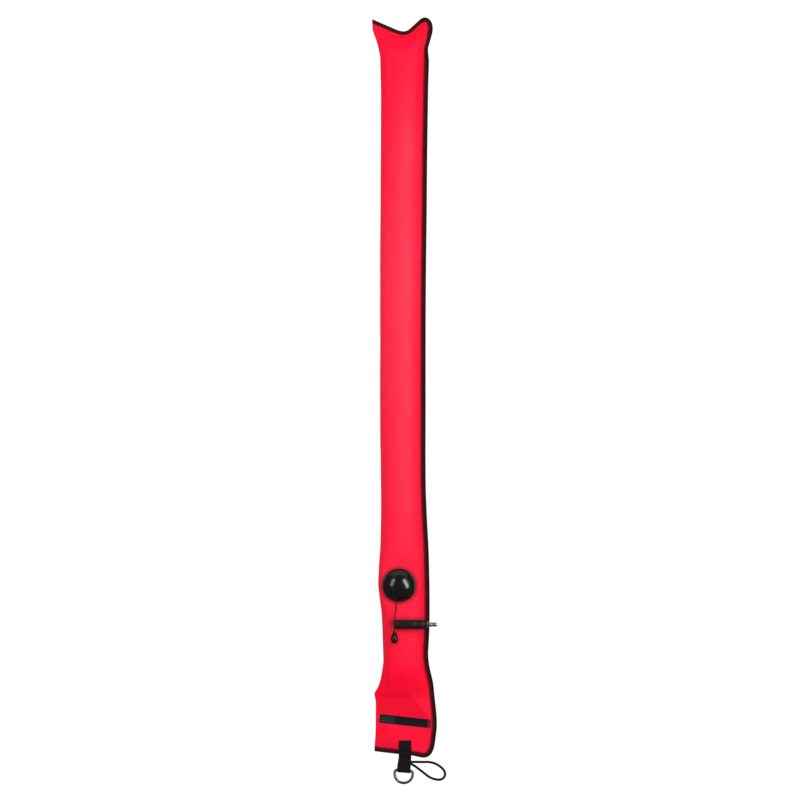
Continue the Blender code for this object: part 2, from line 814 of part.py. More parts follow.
# ---------------------------------------------------------------- line ring
ring_hinge = empty("ring_hinge", (0.0, 0.0, RING_BAR_Z - STRAP_AXIS_Z), parent=strap_hinge)


def ring_route():
    """Centre line of a D-shaped ring, from its bar: rounded corners, then a half
    circle."""
    half, corner, drop = 18.55, 4.5, 6.85  # mm; the half circle's centre is drop below
    points = [(-half + corner, 0.0), (0.0, 0.0), (half - corner, 0.0)]
    for k in range(1, 5):
        a = math.radians(90 - 22.5 * k)
        points.append(
            (half - corner + corner * math.cos(a), -corner + corner * math.sin(a))
        )
    for k in range(1, 16):
        a = math.radians(-12 * k)
        points.append((half * math.cos(a), -drop + half * math.sin(a)))
    for k in range(0, 4):
        a = math.radians(180 - 22.5 * k)
        points.append(
            (-half + corner + corner * math.cos(a), -corner + corner * math.sin(a))
        )
    return [(x * MM, 0.0, z * MM) for x, z in points]


tube("d_ring", ring_route(), RING_WIRE_R, STEEL, ring_hinge, cyclic=True)

# ---------------------------------------------------------------- elastic loop
# Route on the drawing, from the ferrule between the tab's plies, out to the right,
# round and back; the third value is how far it stands in front of the tab's middle.
BUNGEE_ROUTE = [
    (407.6, 761.75, 0.0), (411.0, 761.75, 0.0), (416.5, 761.7, 0.3), (423.0, 761.6, 0.8),
    (429.5, 761.8, 1.2), (435.0, 763.4, 1.2), (440.6, 766.9, 0.9), (444.1, 770.6, 0.4),
    (445.1, 774.4, 0.0), (443.5, 777.7, -0.4), (440.0, 779.6, -0.8), (434.6, 779.0, -1.2),
    (429.3, 776.3, -1.2), (424.7, 772.8, -0.9), (420.1, 769.2, -0.6), (415.8, 766.0, -0.2),
    (412.8, 764.4, 0.0), (410.6, 763.95, 0.0), (407.6, 763.9, 0.0),
]  # fmt: skip
bungee_points = [
    at(x, y) + Vector((0.0, -f * MM, -STRAP_AXIS_Z)) for x, y, f in BUNGEE_ROUTE
]
tube(
    "bungee_loop",
    spaced(through(bungee_points, 10), 6.0 * MM),
    BUNGEE_R,
    ELASTIC,
    strap_hinge,
)


def ferrule_mesh():
    """The crimped sleeve that holds the elastic's two ends."""
    low = at(403.6, 765.1) - Vector((0.0, 0.0, STRAP_AXIS_Z))
    high = at(407.4, 760.6) - Vector((0.0, 0.0, STRAP_AXIS_Z))
    bm = bmesh.new()
    bmesh.ops.create_cube(bm, size=1.0)
    for v in bm.verts:
        v.co = Vector(
            (
                low.x + (high.x - low.x) * (v.co.x + 0.5),
                4.4 * MM * v.co.y,
                low.z + (high.z - low.z) * (v.co.z + 0.5),
            )
        )
    bmesh.ops.bevel(
        bm, geom=bm.edges[:], offset=0.8 * MM, segments=1, affect="EDGES", profile=0.5
    )
    return mesh_from(bm, "bungee_ferrule")


add("bungee_ferrule", ferrule_mesh(), STEEL, strap_hinge, smooth_deg=20.0)

# ---------------------------------------------------------------- dump valve
# Local +Z is the valve's axis, out of the front wall; heights are from the seam plane.
valve = empty("dump_valve", valve_centre, (math.pi / 2, 0.0, 0.0))

turned(
    "valve_inner_flange",
    [(21.9, 18.4), (30.5, 18.4), (30.5, 19.9), (21.9, 19.9)],
    TPU, valve, 24, ring=True,
)  # fmt: skip
turned(
    "valve_gasket",
    [(22.4, 21.3), (30.5, 21.3), (30.5, 22.3), (22.4, 22.3)],
    SEAL, valve, 24, ring=True,
)  # fmt: skip

seat = turned(
    "valve_seat",
    [(17.0, 13.5), (21.2, 13.5), (21.2, 22.6), (31.0, 22.6), (31.0, 24.6), (17.0, 24.6)],
    PLASTIC, valve, 28, ring=True,
)  # fmt: skip
hub = cutter(
    "seat_hub_guide",
    turned_mesh(
        "seat_hub_guide",
        [(r * MM, h * MM) for r, h in ((2.5, 13.5), (5.0, 13.5), (5.0, 17.5), (2.5, 17.5))],
        16,
        ring=True,
    ),
    valve,
)
boolean(seat, hub, "UNION")
for k in range(3):
    spoke = cutter(
        f"seat_spoke_guide_{k}", box_mesh(f"spoke{k}", (4.2, -1.6, 13.9), (18.6, 1.6, 16.3)), valve
    )
    spoke.rotation_euler = (0.0, 0.0, math.radians(90 + 120 * k))
    boolean(seat, spoke, "UNION")

# The domed cap: a shallow dome over a skirt with air slots under its lip.
DOME_R, DOME_CENTRE, DOME_WALL = 39.6, 5.4, 1.8  # mm
cap_profile = []
for k in range(7):
    a = math.radians(52.5 * k / 6)
    cap_profile.append((DOME_R * math.sin(a), DOME_CENTRE + DOME_R * math.cos(a)))
cap_profile[0] = (0.0, DOME_CENTRE + DOME_R)
cap_profile += [
    (33.0, 29.6), (33.85, 29.0), (33.85, 28.4), (33.0, 28.2), (33.0, 21.5), (31.4, 21.5),
    (31.4, 27.6),
]  # fmt: skip
for k in range(5):
    a = math.radians(52.0 * (4 - k) / 4)
    r = DOME_R - DOME_WALL
    cap_profile.append((r * math.sin(a), DOME_CENTRE + r * math.cos(a)))
cap_profile[-1] = (0.0, DOME_CENTRE + DOME_R - DOME_WALL)
cap = turned("valve_cap", cap_profile, GLOSS, valve, 32, smooth_deg=30.0)
for k in range(10):
    angle = math.radians(-90 + 36 * (k + 0.5))
    slot = cutter(
        f"cap_slot_guide_{k}", box_mesh(f"slot{k}", (29.5, -3.2, 25.2), (36.0, 3.2, 27.0)), valve
    )
    slot.rotation_euler = (0.0, 0.0, angle)
    boolean(cap, slot, "DIFFERENCE")
CORD_X = (396.35 - VALVE_X) * U / MM  # where the pull cord leaves, left of the middle
exit_slot = cutter(
    "cap_cord_slot_guide",
    box_mesh("cord_slot", (CORD_X - 2.4, -36.0, 24.95), (CORD_X + 2.4, -29.0, 28.1)),
    valve,
)
boolean(cap, exit_slot, "DIFFERENCE")

turned(
    "valve_disc",
    [
        (0.0, 10.5), (1.6, 10.5), (2.0, 11.0), (2.0, 25.8), (19.5, 25.8), (19.5, 27.6),
        (5.4, 27.6), (4.4, 30.6), (0.0, 31.2),
    ],
    PLASTIC, valve, 24,
)  # fmt: skip
turned(
    "valve_disc_seal",
    [(15.6, 24.9), (19.8, 24.9), (19.8, 25.5), (15.6, 25.5)],
    SEAL, valve, 24, ring=True,
)  # fmt: skip
coil("valve_spring", 7.2, 0.5, 27.9, 41.8, 4.0, 12, SPRING, valve)

# ---------------------------------------------------------------- pull cord and bead
# Route on the drawing, with its height in front of the seam plane in mm.
CORD_ROUTE = [
    (396.52, 596.0, 27.0), (396.43, 597.0, 26.0), (396.37, 598.0, 25.76), (396.15, 601.4, 27.0),
    (395.95, 604.5, 28.13), (395.62, 609.0, 29.76), (395.15, 614.0, 31.58),
    (394.55, 618.5, 33.21), (394.33, 621.5, 34.30), (394.27, 625.0, 35.57), (394.4, 629.2, 37.1),
]  # fmt: skip
pull = empty("pull_frame", at(394.4, 629.3) + Vector((0.0, -37.1 * MM, 0.0)))


def pull_point(x, y, h):
    return at(x, y) + Vector((0.0, -h * MM, 0.0)) - pull.location


cord_points = through([pull_point(*p) for p in CORD_ROUTE], 6)
cord_points[-1].z = 0.3 * MM
tube("pull_cord", spaced(cord_points, 3.4 * MM), PULL_CORD_R, BRAIDED, pull)

knot = turned(
    "cord_knot",
    [(0.0, 1.5), (0.9, 1.35), (1.6, 0.6), (1.6, -0.5), (0.95, -1.4), (0.0, -1.5)],
    BRAIDED, valve, 12,
)  # fmt: skip
knot.location = (
    (396.85 - VALVE_X) * U,
    -16.4 * MM,
    29.4 * MM,
)

BEAD_HEIGHT, BEAD_R = 28.1, 7.5  # mm


def bead_profile():
    """A teardrop: a round lower end that draws up into a narrow neck."""
    points = [(0.0, 0.0), (1.5, 0.0)]
    for k in range(1, 6):
        t = k / 6
        r = 1.5 + (BEAD_R - 1.5) * (t * t * (3 - 2 * t)) ** 0.85
        points.append((r, -t * (BEAD_HEIGHT - 9.6)))
    for k in range(0, 6):
        a = math.radians(90 * k / 6)
        points.append(
            (BEAD_R * math.cos(a), -(BEAD_HEIGHT - 9.6) - 9.6 * math.sin(a))
        )
    points.append((0.0, -BEAD_HEIGHT))
    return points


turned("pull_bead", bead_profile(), GLOSS, pull, 20, smooth_deg=50.0)

# ---------------------------------------------------------------- inflator
# Local +Z is the inflator's axis, towards its nipple; heights are world X.
axis_z = at(0, INFLATOR_Y).z
inflator = empty(
    "inflator", (0.0, -INFLATOR_AXIS, axis_z), (0.0, math.pi / 2, 0.0)
)
port = empty("inflator_port", port_centre, (math.pi / 2, 0.0, 0.0))

flange = turned(
    "inflator_flange",
    [(3.2, 22.9), (13.0, 22.9), (13.0, 24.5), (4.4, 24.5), (4.4, 33.0), (3.2, 33.0)],
    TPU, port, 20, ring=True,
)  # fmt: skip

HOSE_R, HOSE_BORE = 8.8, 6.3  # mm
HOSE_LEFT, HOSE_RIGHT = -17.4, 47.9
hose = turned(
    "inflator_hose",
    [
        (0.0, HOSE_LEFT), (HOSE_R - 3.2, HOSE_LEFT), (HOSE_R - 1.5, HOSE_LEFT + 0.5),
        (HOSE_R - 0.4, HOSE_LEFT + 1.6), (HOSE_R, HOSE_LEFT + 3.2),
        (HOSE_R, HOSE_RIGHT - 0.8), (HOSE_R - 0.8, HOSE_RIGHT), (HOSE_BORE, HOSE_RIGHT),
        (HOSE_BORE, HOSE_LEFT + 4.4), (HOSE_BORE - 1.6, HOSE_LEFT + 2.8),
        (0.0, HOSE_LEFT + 2.8),
    ],
    RUBBER, inflator, 28, smooth_deg=40.0,
)  # fmt: skip
boss = cutter(
    "hose_boss_guide",
    turned_mesh(
        "hose_boss_guide",
        [(r * MM, h * MM) for r, h in ((0.0, 25.9), (7.2, 25.9), (7.2, 29.2), (0.0, 29.2))],
        20,
    ),
    port,
)
boolean(hose, boss, "UNION")
port_hole = cutter(
    "hose_port_guide",
    turned_mesh(
        "hose_port_guide",
        [(r * MM, h * MM) for r, h in ((0.0, 24.0), (4.9, 24.0), (4.9, 36.0), (0.0, 36.0))],
        20,
    ),
    port,
)
boolean(hose, port_hole, "DIFFERENCE")

turned(
    "inflator_body",
    [
        (3.6, 22.0), (5.4, 22.0), (6.0, 23.0), (6.0, 47.6), (5.7, 47.6), (5.7, 46.1),
        (4.25, 46.1), (4.25, 39.3), (3.6, 39.3),
    ],
    BRASS, inflator, 24, ring=True,
)  # fmt: skip

nipple = turned(
    "inflator_nipple",
    [
        (0.0, 39.6), (3.9, 39.6), (3.9, 49.5), (4.3, 52.5), (4.3, 58.2), (3.6, 58.8),
        (3.6, 60.6), (4.3, 61.2), (4.3, 64.6), (3.3, 68.7), (0.0, 68.7),
    ],
    STEEL, inflator, 24, smooth_deg=30.0,
)  # fmt: skip
hexagon = cutter(
    "nipple_hexagon_guide",
    turned_mesh(
        "nipple_hexagon_guide",
        [(r * MM, h * MM) for r, h in ((0.0, 48.2), (7.0, 48.2), (7.5, 48.8), (7.5, 52.5), (7.0, 53.1), (0.0, 53.1))],
        6,
    ),
    inflator,
)
boolean(nipple, hexagon, "UNION")
bore = cutter(
    "nipple_bore_guide",
    turned_mesh(
        "nipple_bore_guide",
        [(r * MM, h * MM) for r, h in ((0.0, 38.0), (1.8, 38.0), (1.8, 70.0), (0.0, 70.0))],
        16,
    ),
    inflator,
)
boolean(nipple, bore, "DIFFERENCE")


def torus_profile(major, minor, height, sides=8):
    return [
        (
            major + minor * math.cos(2 * math.pi * k / sides),
            height + minor * math.sin(2 * math.pi * k / sides),
        )
        for k in range(sides)
    ]


turned("nipple_o_ring", torus_profile(4.8, 0.5, 46.95), SEAL, inflator, 20, ring=True)
turned(
    "check_poppet",
    [(0.0, 27.8), (0.9, 27.8), (0.9, 36.6), (3.1, 36.6), (3.1, 38.4), (0.0, 38.4)],
    BRASS, inflator, 16,
)  # fmt: skip
turned(
    "poppet_seal",
    [(2.0, 38.7), (3.2, 38.7), (3.2, 39.3), (2.0, 39.3)],
    SEAL, inflator, 16, ring=True,
)  # fmt: skip
retainer = turned(
    "spring_retainer",
    [(1.2, 29.4), (3.3, 29.4), (3.3, 30.9), (1.2, 30.9)],
    BRASS, inflator, 18, ring=True,
)  # fmt: skip
coil("check_spring", 2.2, 0.28, 31.2, 36.3, 4.0, 10, SPRING, inflator)
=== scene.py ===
"""Looks of the surface marker buoy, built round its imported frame."""

import math

import bmesh
import bpy
import numpy as np
from mathutils import Matrix, Vector, noise


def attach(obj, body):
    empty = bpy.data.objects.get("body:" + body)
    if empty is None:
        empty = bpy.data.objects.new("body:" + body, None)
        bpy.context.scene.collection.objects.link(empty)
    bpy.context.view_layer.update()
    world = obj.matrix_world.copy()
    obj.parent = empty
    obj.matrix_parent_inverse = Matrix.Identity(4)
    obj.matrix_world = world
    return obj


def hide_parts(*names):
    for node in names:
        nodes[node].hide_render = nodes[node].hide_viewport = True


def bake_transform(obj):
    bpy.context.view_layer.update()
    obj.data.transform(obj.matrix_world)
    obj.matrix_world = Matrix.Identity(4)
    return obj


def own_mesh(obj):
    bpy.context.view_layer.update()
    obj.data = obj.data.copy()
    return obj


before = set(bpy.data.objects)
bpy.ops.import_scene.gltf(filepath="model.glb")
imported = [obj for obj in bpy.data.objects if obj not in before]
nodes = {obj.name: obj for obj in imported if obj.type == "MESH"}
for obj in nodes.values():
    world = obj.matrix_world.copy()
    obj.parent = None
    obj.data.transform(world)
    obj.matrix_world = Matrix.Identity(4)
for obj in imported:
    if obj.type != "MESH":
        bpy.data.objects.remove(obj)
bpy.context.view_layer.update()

MM = 0.001

# ------------------------------------------------------------------ front-view drawing
# The same drawing as the part's: x to the right, y down, one unit is U metres.
U = 2.05 * MM
ORIGIN_X, ORIGIN_Y = 403.5, 781.8


def at(x, y):
    return Vector(((x - ORIGIN_X) * U, 0.0, (ORIGIN_Y - y) * U))


# ------------------------------------------------------------------ camera
CAMERA_DISTANCE = 12.0
FRAME_SIDE = 800 * U
centre = at(400.0, 400.0)
camera_data = bpy.data.cameras.new("camera")
camera_data.sensor_width = 36.0
camera_data.lens = 36.0 * CAMERA_DISTANCE / FRAME_SIDE
camera_data.clip_start = 0.05
camera_data.clip_end = 60.0
camera = bpy.data.objects.new("camera", camera_data)
bpy.context.scene.collection.objects.link(camera)
camera.location = centre + Vector((0.0, -CAMERA_DISTANCE, 0.0))
camera.rotation_euler = (math.pi / 2, 0.0, 0.0)
bpy.context.scene.camera = camera

# ------------------------------------------------------------------ driving dimensions
PLY = 0.7 * MM
TAPE_COVER = 10.4 * MM
TAPE_HALF = 1.9 * MM
TAPE_SLOT = 0.95 * MM
FIN = 10.9 * MM
FLAT_GIRTH = 2 * 113.2 * MM
VALVE_X, VALVE_Y = 399.1, 585.1
VALVE_LAND = 21.0 * MM
PORT_LAND = 25.6 * MM
PORT_X, INFLATOR_Y = 398.4, 624.2
INFLATOR_AXIS = 35.4 * MM
STRAP_AXIS_Z = 52.2 * MM
RING_BAR_Z = 23.2 * MM
RING_WIRE_R = 2.7 * MM
BUNGEE_R = 2.5 * MM
PULL_CORD_R = 1.05 * MM
WELD_Y = 694.0
COLUMNS = 40

LEFT = [
    (372.7, 24.5), (372.4, 28.5), (373.2, 32.0), (375.0, 36.5), (377.3, 43.5),
    (379.1, 51.5), (380.2, 57.0), (380.3, 63.0), (380.7, 75.0), (380.9, 95.0),
    (381.0, 110.0), (380.7, 160.0), (380.4, 210.0), (380.1, 260.0), (380.1, 310.0),
    (380.1, 410.0), (380.6, 460.0), (380.9, 485.0), (381.0, 510.0), (380.7, 530.0),
    (380.3, 545.0), (379.5, 558.0), (378.9, 569.0), (378.3, 580.0), (378.4, 587.0),
    (379.3, 595.0), (380.3, 603.0), (381.3, 611.0), (381.9, 620.0), (382.6, 635.0),
    (382.9, 647.0), (383.2, 657.0), (383.1, 662.5), (382.4, 667.5), (381.6, 672.5),
    (380.9, 677.0), (379.8, 681.5), (378.2, 686.5), (375.9, 690.5), (374.3, 693.5),
    (374.8, 697.0), (375.6, 701.0), (375.8, 707.0), (375.7, 716.0), (375.6, 728.0),
    (375.2, 738.0), (374.6, 746.6),
]  # fmt: skip
TOP = [
    (372.2, 19.2), (380.5, 22.7), (388.7, 26.3), (399.6, 30.7), (403.8, 31.3),
    (407.3, 30.5), (410.5, 28.1), (416.3, 22.8), (421.0, 18.7), (424.3, 17.2),
]  # fmt: skip
EAR = [
    (424.3, 17.2), (427.6, 18.0), (430.2, 20.0), (432.0, 23.2), (432.8, 27.5),
    (432.5, 32.0), (431.3, 37.0), (429.6, 43.0), (428.1, 48.8), (428.5, 55.0),
    (429.0, 60.5),
]  # fmt: skip
RIGHT = [
    (429.0, 60.5), (428.8, 70.0), (428.3, 85.0), (427.9, 110.0), (427.2, 160.0),
    (426.8, 210.0), (426.2, 260.0), (425.8, 310.0), (425.7, 360.0), (425.7, 410.0),
    (425.6, 460.0), (425.8, 485.0), (426.6, 510.0), (427.4, 526.0), (428.2, 541.0),
    (428.9, 556.0), (429.3, 575.0), (429.6, 590.0), (429.7, 610.0), (429.6, 620.0),
    (429.2, 635.0), (428.6, 645.0), (428.2, 653.0), (428.5, 659.0), (429.2, 665.0),
    (430.3, 670.5), (431.8, 676.5), (433.0, 682.0), (433.7, 687.0), (434.2, 692.5),
    (434.9, 699.0), (435.8, 707.0), (436.5, 714.0), (436.9, 721.0), (436.8, 728.0),
    (436.2, 734.0), (435.3, 740.5), (434.6, 745.5), (433.4, 750.0), (430.9, 754.5),
]  # fmt: skip
BOTTOM = [
    (374.5, 751.2), (385.0, 752.55), (397.7, 754.0), (411.5, 755.5), (418.0, 756.8),
    (423.0, 757.7), (427.5, 756.9), (430.9, 754.5),
]  # fmt: skip
KEY_ROWS = [60.5, 67.0, 76.0, 92.0, 125.0, 180.0, 250.0, 320.0, 390.0, 450.0, 490.0,
            520.0, 543.0, 562.0, 599.0, 614.0, 635.0, 650.0, 668.0, 680.0, 691.0, 701.0,
            717.0, 739.0, 746.6]  # fmt: skip
ROW_STEP = 2.5

# ------------------------------------------------------------------ curve helpers


def through(points, per_span):
    """Points of a smooth curve through the given ones (centripetal Catmull-Rom)."""
    pts = [Vector(p) for p in points]
    pts = [2 * pts[0] - pts[1]] + pts + [2 * pts[-1] - pts[-2]]
    out = []
    for i in range(1, len(pts) - 2):
        p0, p1, p2, p3 = pts[i - 1 : i + 3]
        t0 = 0.0
        t1 = t0 + (p1 - p0).length ** 0.5
        t2 = t1 + (p2 - p1).length ** 0.5
        t3 = t2 + (p3 - p2).length ** 0.5
        for k in range(per_span):
            t = t1 + (t2 - t1) * k / per_span
            a1 = p0 * ((t1 - t) / (t1 - t0)) + p1 * ((t - t0) / (t1 - t0))
            a2 = p1 * ((t2 - t) / (t2 - t1)) + p2 * ((t - t1) / (t2 - t1))
            a3 = p2 * ((t3 - t) / (t3 - t2)) + p3 * ((t - t2) / (t3 - t2))
            b1 = a1 * ((t2 - t) / (t2 - t0)) + a2 * ((t - t0) / (t2 - t0))
            b2 = a2 * ((t3 - t) / (t3 - t1)) + a3 * ((t - t1) / (t3 - t1))
            out.append(b1 * ((t2 - t) / (t2 - t1)) + b2 * ((t - t1) / (t2 - t1)))
    out.append(pts[-2].copy())
    return out


def spaced(points, step):
    """The same curve read at even steps along its length."""
    run = [0.0]
    for a, b in zip(points, points[1:]):
        run.append(run[-1] + (b - a).length)
    count = max(2, round(run[-1] / step))
    out, k = [], 0
    for i in range(count + 1):
        s = run[-1] * i / count
        while k < len(run) - 2 and run[k + 1] < s:
            k += 1
        f = (s - run[k]) / max(run[k + 1] - run[k], 1e-12)
        out.append(points[k].lerp(points[k + 1], min(max(f, 0.0), 1.0)))
    return out


def value_at(table, y):
    """Smooth x at height y, through a table of (x, y)."""
    k = 0
    while k < len(table) - 2 and table[k + 1][1] < y:
        k += 1

    def slope(i):
        a, b = table[max(i - 1, 0)], table[min(i + 1, len(table) - 1)]
        return (b[0] - a[0]) / (b[1] - a[1])

    (x0, y0), (x1, y1) = table[k], table[k + 1]
    w = y1 - y0
    t = min(max((y - y0) / w, 0.0), 1.0)
    return (
        x0 * (2 * t**3 - 3 * t**2 + 1)
        + x1 * (3 * t**2 - 2 * t**3)
        + w * slope(k) * (t**3 - 2 * t**2 + t)
        + w * slope(k + 1) * (t**3 - t**2)
    )


def at_fractions(table, fractions):
    curve = through([(x, y) for x, y in table], 16)
    x0, x1 = curve[0].x, curve[-1].x
    out = []
    for f in fractions:
        x = x0 + (x1 - x0) * f
        k = 0
        while k < len(curve) - 2 and curve[k + 1].x < x:
            k += 1
        a, b = curve[k], curve[k + 1]
        t = min(max((x - a.x) / (b.x - a.x), 0.0), 1.0)
        out.append((x, a.y + (b.y - a.y) * t))
    return out


def smooth(t):
    t = np.clip(t, 0.0, 1.0)
    return t * t * (3 - 2 * t)


# ------------------------------------------------------------------ material helpers


class Finish:
    """A procedural material, with short calls for the nodes it needs."""

    def __init__(self, name, colour, roughness, metallic=0.0, specular=0.5):
        self.material = bpy.data.materials.new(name)
        self.material.use_nodes = True
        self.tree = self.material.node_tree
        self.shader = self.tree.nodes["Principled BSDF"]
        self.base = colour
        self.set("Base Color", (*colour, 1.0))
        self.set("Roughness", roughness)
        self.set("Metallic", metallic)
        self.set("Specular IOR Level", specular)
        self.bumped = None

    def set(self, socket, value):
        self.shader.inputs[socket].default_value = value
        return self

    def node(self, kind, **values):
        n = self.tree.nodes.new(kind)
        for key, value in values.items():
            setattr(n, key, value)
        return n

    def wire(self, source, target):
        if isinstance(source, (int, float)):
            target.default_value = source
        elif isinstance(source, tuple):
            target.default_value = source
        else:
            self.tree.links.new(source, target)

    def metres(self):
        """Place on the object, in metres."""
        return self.node("ShaderNodeTexCoord").outputs["Object"]

    def along(self):
        """(along, across) the piece in metres, from its own mesh."""
        split = self.node("ShaderNodeSeparateXYZ")
        self.wire(self.node("ShaderNodeTexCoord").outputs["UV"], split.inputs[0])
        return split.outputs[0], split.outputs[1]

    def calc(self, operation, a, b=0.0, c=0.0):
        n = self.node("ShaderNodeMath", operation=operation)
        for source, target in zip((a, b, c), n.inputs):
            self.wire(source, target)
        return n.outputs[0]

    def noise(self, scale, detail=3.0, rough=0.55, stretch=(1.0, 1.0, 1.0), distort=0.0):
        mapping = self.node("ShaderNodeMapping")
        self.wire(self.metres(), mapping.inputs["Vector"])
        mapping.inputs["Scale"].default_value = stretch
        n = self.node("ShaderNodeTexNoise")
        self.wire(mapping.outputs[0], n.inputs["Vector"])
        n.inputs["Scale"].default_value = scale
        n.inputs["Detail"].default_value = detail
        n.inputs["Roughness"].default_value = rough
        n.inputs["Distortion"].default_value = distort
        return n.outputs["Fac"]

    def remap(self, value, low, high, to_low=0.0, to_high=1.0):
        n = self.node("ShaderNodeMapRange")
        self.wire(value, n.inputs["Value"])
        for key, number in (
            ("From Min", low),
            ("From Max", high),
            ("To Min", to_low),
            ("To Max", to_high),
        ):
            n.inputs[key].default_value = number
        return n.outputs["Result"]

    def mix(self, amount, one, two):
        n = self.node("ShaderNodeMix", data_type="RGBA")
        self.wire(amount, n.inputs["Factor"])
        for source, name in ((one, 6), (two, 7)):
            if isinstance(source, tuple):
                n.inputs[name].default_value = (*source, 1.0)
            else:
                self.wire(source, n.inputs[name])
        return n.outputs[2]

    def colour(self, source):
        self.wire(source, self.shader.inputs["Base Color"])
        return self

    def roughness(self, source):
        self.wire(source, self.shader.inputs["Roughness"])
        return self

    def bump(self, height, distance, strength=1.0):
        """Relief on top of what is there; distance is in metres."""
        n = self.node("ShaderNodeBump")
        n.inputs["Strength"].default_value = strength
        n.inputs["Distance"].default_value = distance
        self.wire(height, n.inputs["Height"])
        if self.bumped is not None:
            self.wire(self.bumped, n.inputs["Normal"])
        self.bumped = n.outputs["Normal"]
        self.wire(self.bumped, self.shader.inputs["Normal"])
        return self

    def waves(self, value, pitch, shift=0.0):
        """A sine over value, in metres, with that pitch."""
        scaled = self.calc("MULTIPLY", value, 2 * math.pi / pitch)
        return self.calc("SINE", self.calc("ADD", scaled, shift))


def vary(finish, scale, spread, stretch=(1.0, 1.0, 1.0), toward=None):
    """Uneven colour: patches a little darker and lighter, or towards another colour."""
    r, g, b = finish.base
    dark = toward or tuple(c * (1 - spread) for c in (r, g, b))
    light = tuple(min(1.0, c * (1 + spread)) for c in (r, g, b))
    patch = finish.remap(finish.noise(scale, 4.0, 0.6, stretch), 0.32, 0.68)
    return finish.mix(patch, dark, light)


# Colour of the fabric at heights above the line ring, in metres. These tones hold painted light: the paler pink at
# middle heights is painted sheen, and the deeper reds low on the tube and tail are painted shade.
PAINTED_SHEEN_AND_SHADE_TONES = [
    (0.05, (0.66, 0.0018, 0.022)), (0.10, (0.80, 0.0026, 0.032)), (0.15, (0.69, 0.0006, 0.020)),
    (0.175, (0.71, 0.0006, 0.020)), (0.186, (0.83, 0.0007, 0.022)), (0.21, (0.87, 0.0008, 0.026)),
    (0.23, (0.92, 0.0030, 0.034)), (0.25, (0.93, 0.0070, 0.041)), (0.40, (0.88, 0.013, 0.049)),
    (0.62, (0.95, 0.016, 0.053)), (0.90, (0.95, 0.024, 0.062)), (1.05, (0.95, 0.028, 0.068)),
    (1.27, (0.95, 0.017, 0.054)), (1.40, (0.95, 0.008, 0.044)), (1.50, (0.95, 0.006, 0.040)),
]  # fmt: skip


def crease_side(f, split, a, b, soft):
    """0 on the left of a line on the drawing and 1 on its right."""
    p, q = at(*a), at(*b)
    way = (q - p).normalized()
    right = Vector((-way.z, 0.0, way.x))
    x = f.calc("MULTIPLY", f.calc("SUBTRACT", split.outputs[0], p.x), right.x)
    z = f.calc("MULTIPLY", f.calc("SUBTRACT", split.outputs[2], p.z), right.z)
    return f.remap(f.calc("ADD", x, z), -soft, soft)


def painted_shade_round_fittings(f, split):
    """Painted shade: darker fabric round the valve's rim and above the barrel, on the front."""

    def offset(k, value):
        return f.calc("SUBTRACT", split.outputs[k], value)

    def reach(a, b):
        return f.calc("SQRT", f.calc("ADD", f.calc("MULTIPLY", a, a), f.calc("MULTIPLY", b, b)))

    def falloff(d, near, far, amount):
        w = f.remap(d, near, far, 1.0, 0.0)
        return f.calc("MULTIPLY", f.calc("MULTIPLY", w, w), amount)

    rim = at(VALVE_X, VALVE_Y)
    valve_rim_shade = falloff(reach(offset(0, rim.x), offset(2, rim.z)), 33.8 * MM, 44.5 * MM, 0.78)
    axis = at(0, INFLATOR_Y).z + 3.0 * MM
    past = f.calc("MAXIMUM", offset(0, 46.0 * MM), f.calc("MULTIPLY", offset(0, -17.0 * MM), -1.0))
    past = f.calc("MAXIMUM", past, 0.0)
    above = f.calc("ADD", f.calc("ABSOLUTE", offset(2, axis)), 3.0 * MM)
    barrel_shade = falloff(reach(past, above), 9.6 * MM, 22.5 * MM, 0.72)
    front = f.remap(split.outputs[1], -4.0 * MM, 0.0, 1.0, 0.0)
    return f.calc("MULTIPLY", f.calc("MAXIMUM", valve_rim_shade, barrel_shade), front)


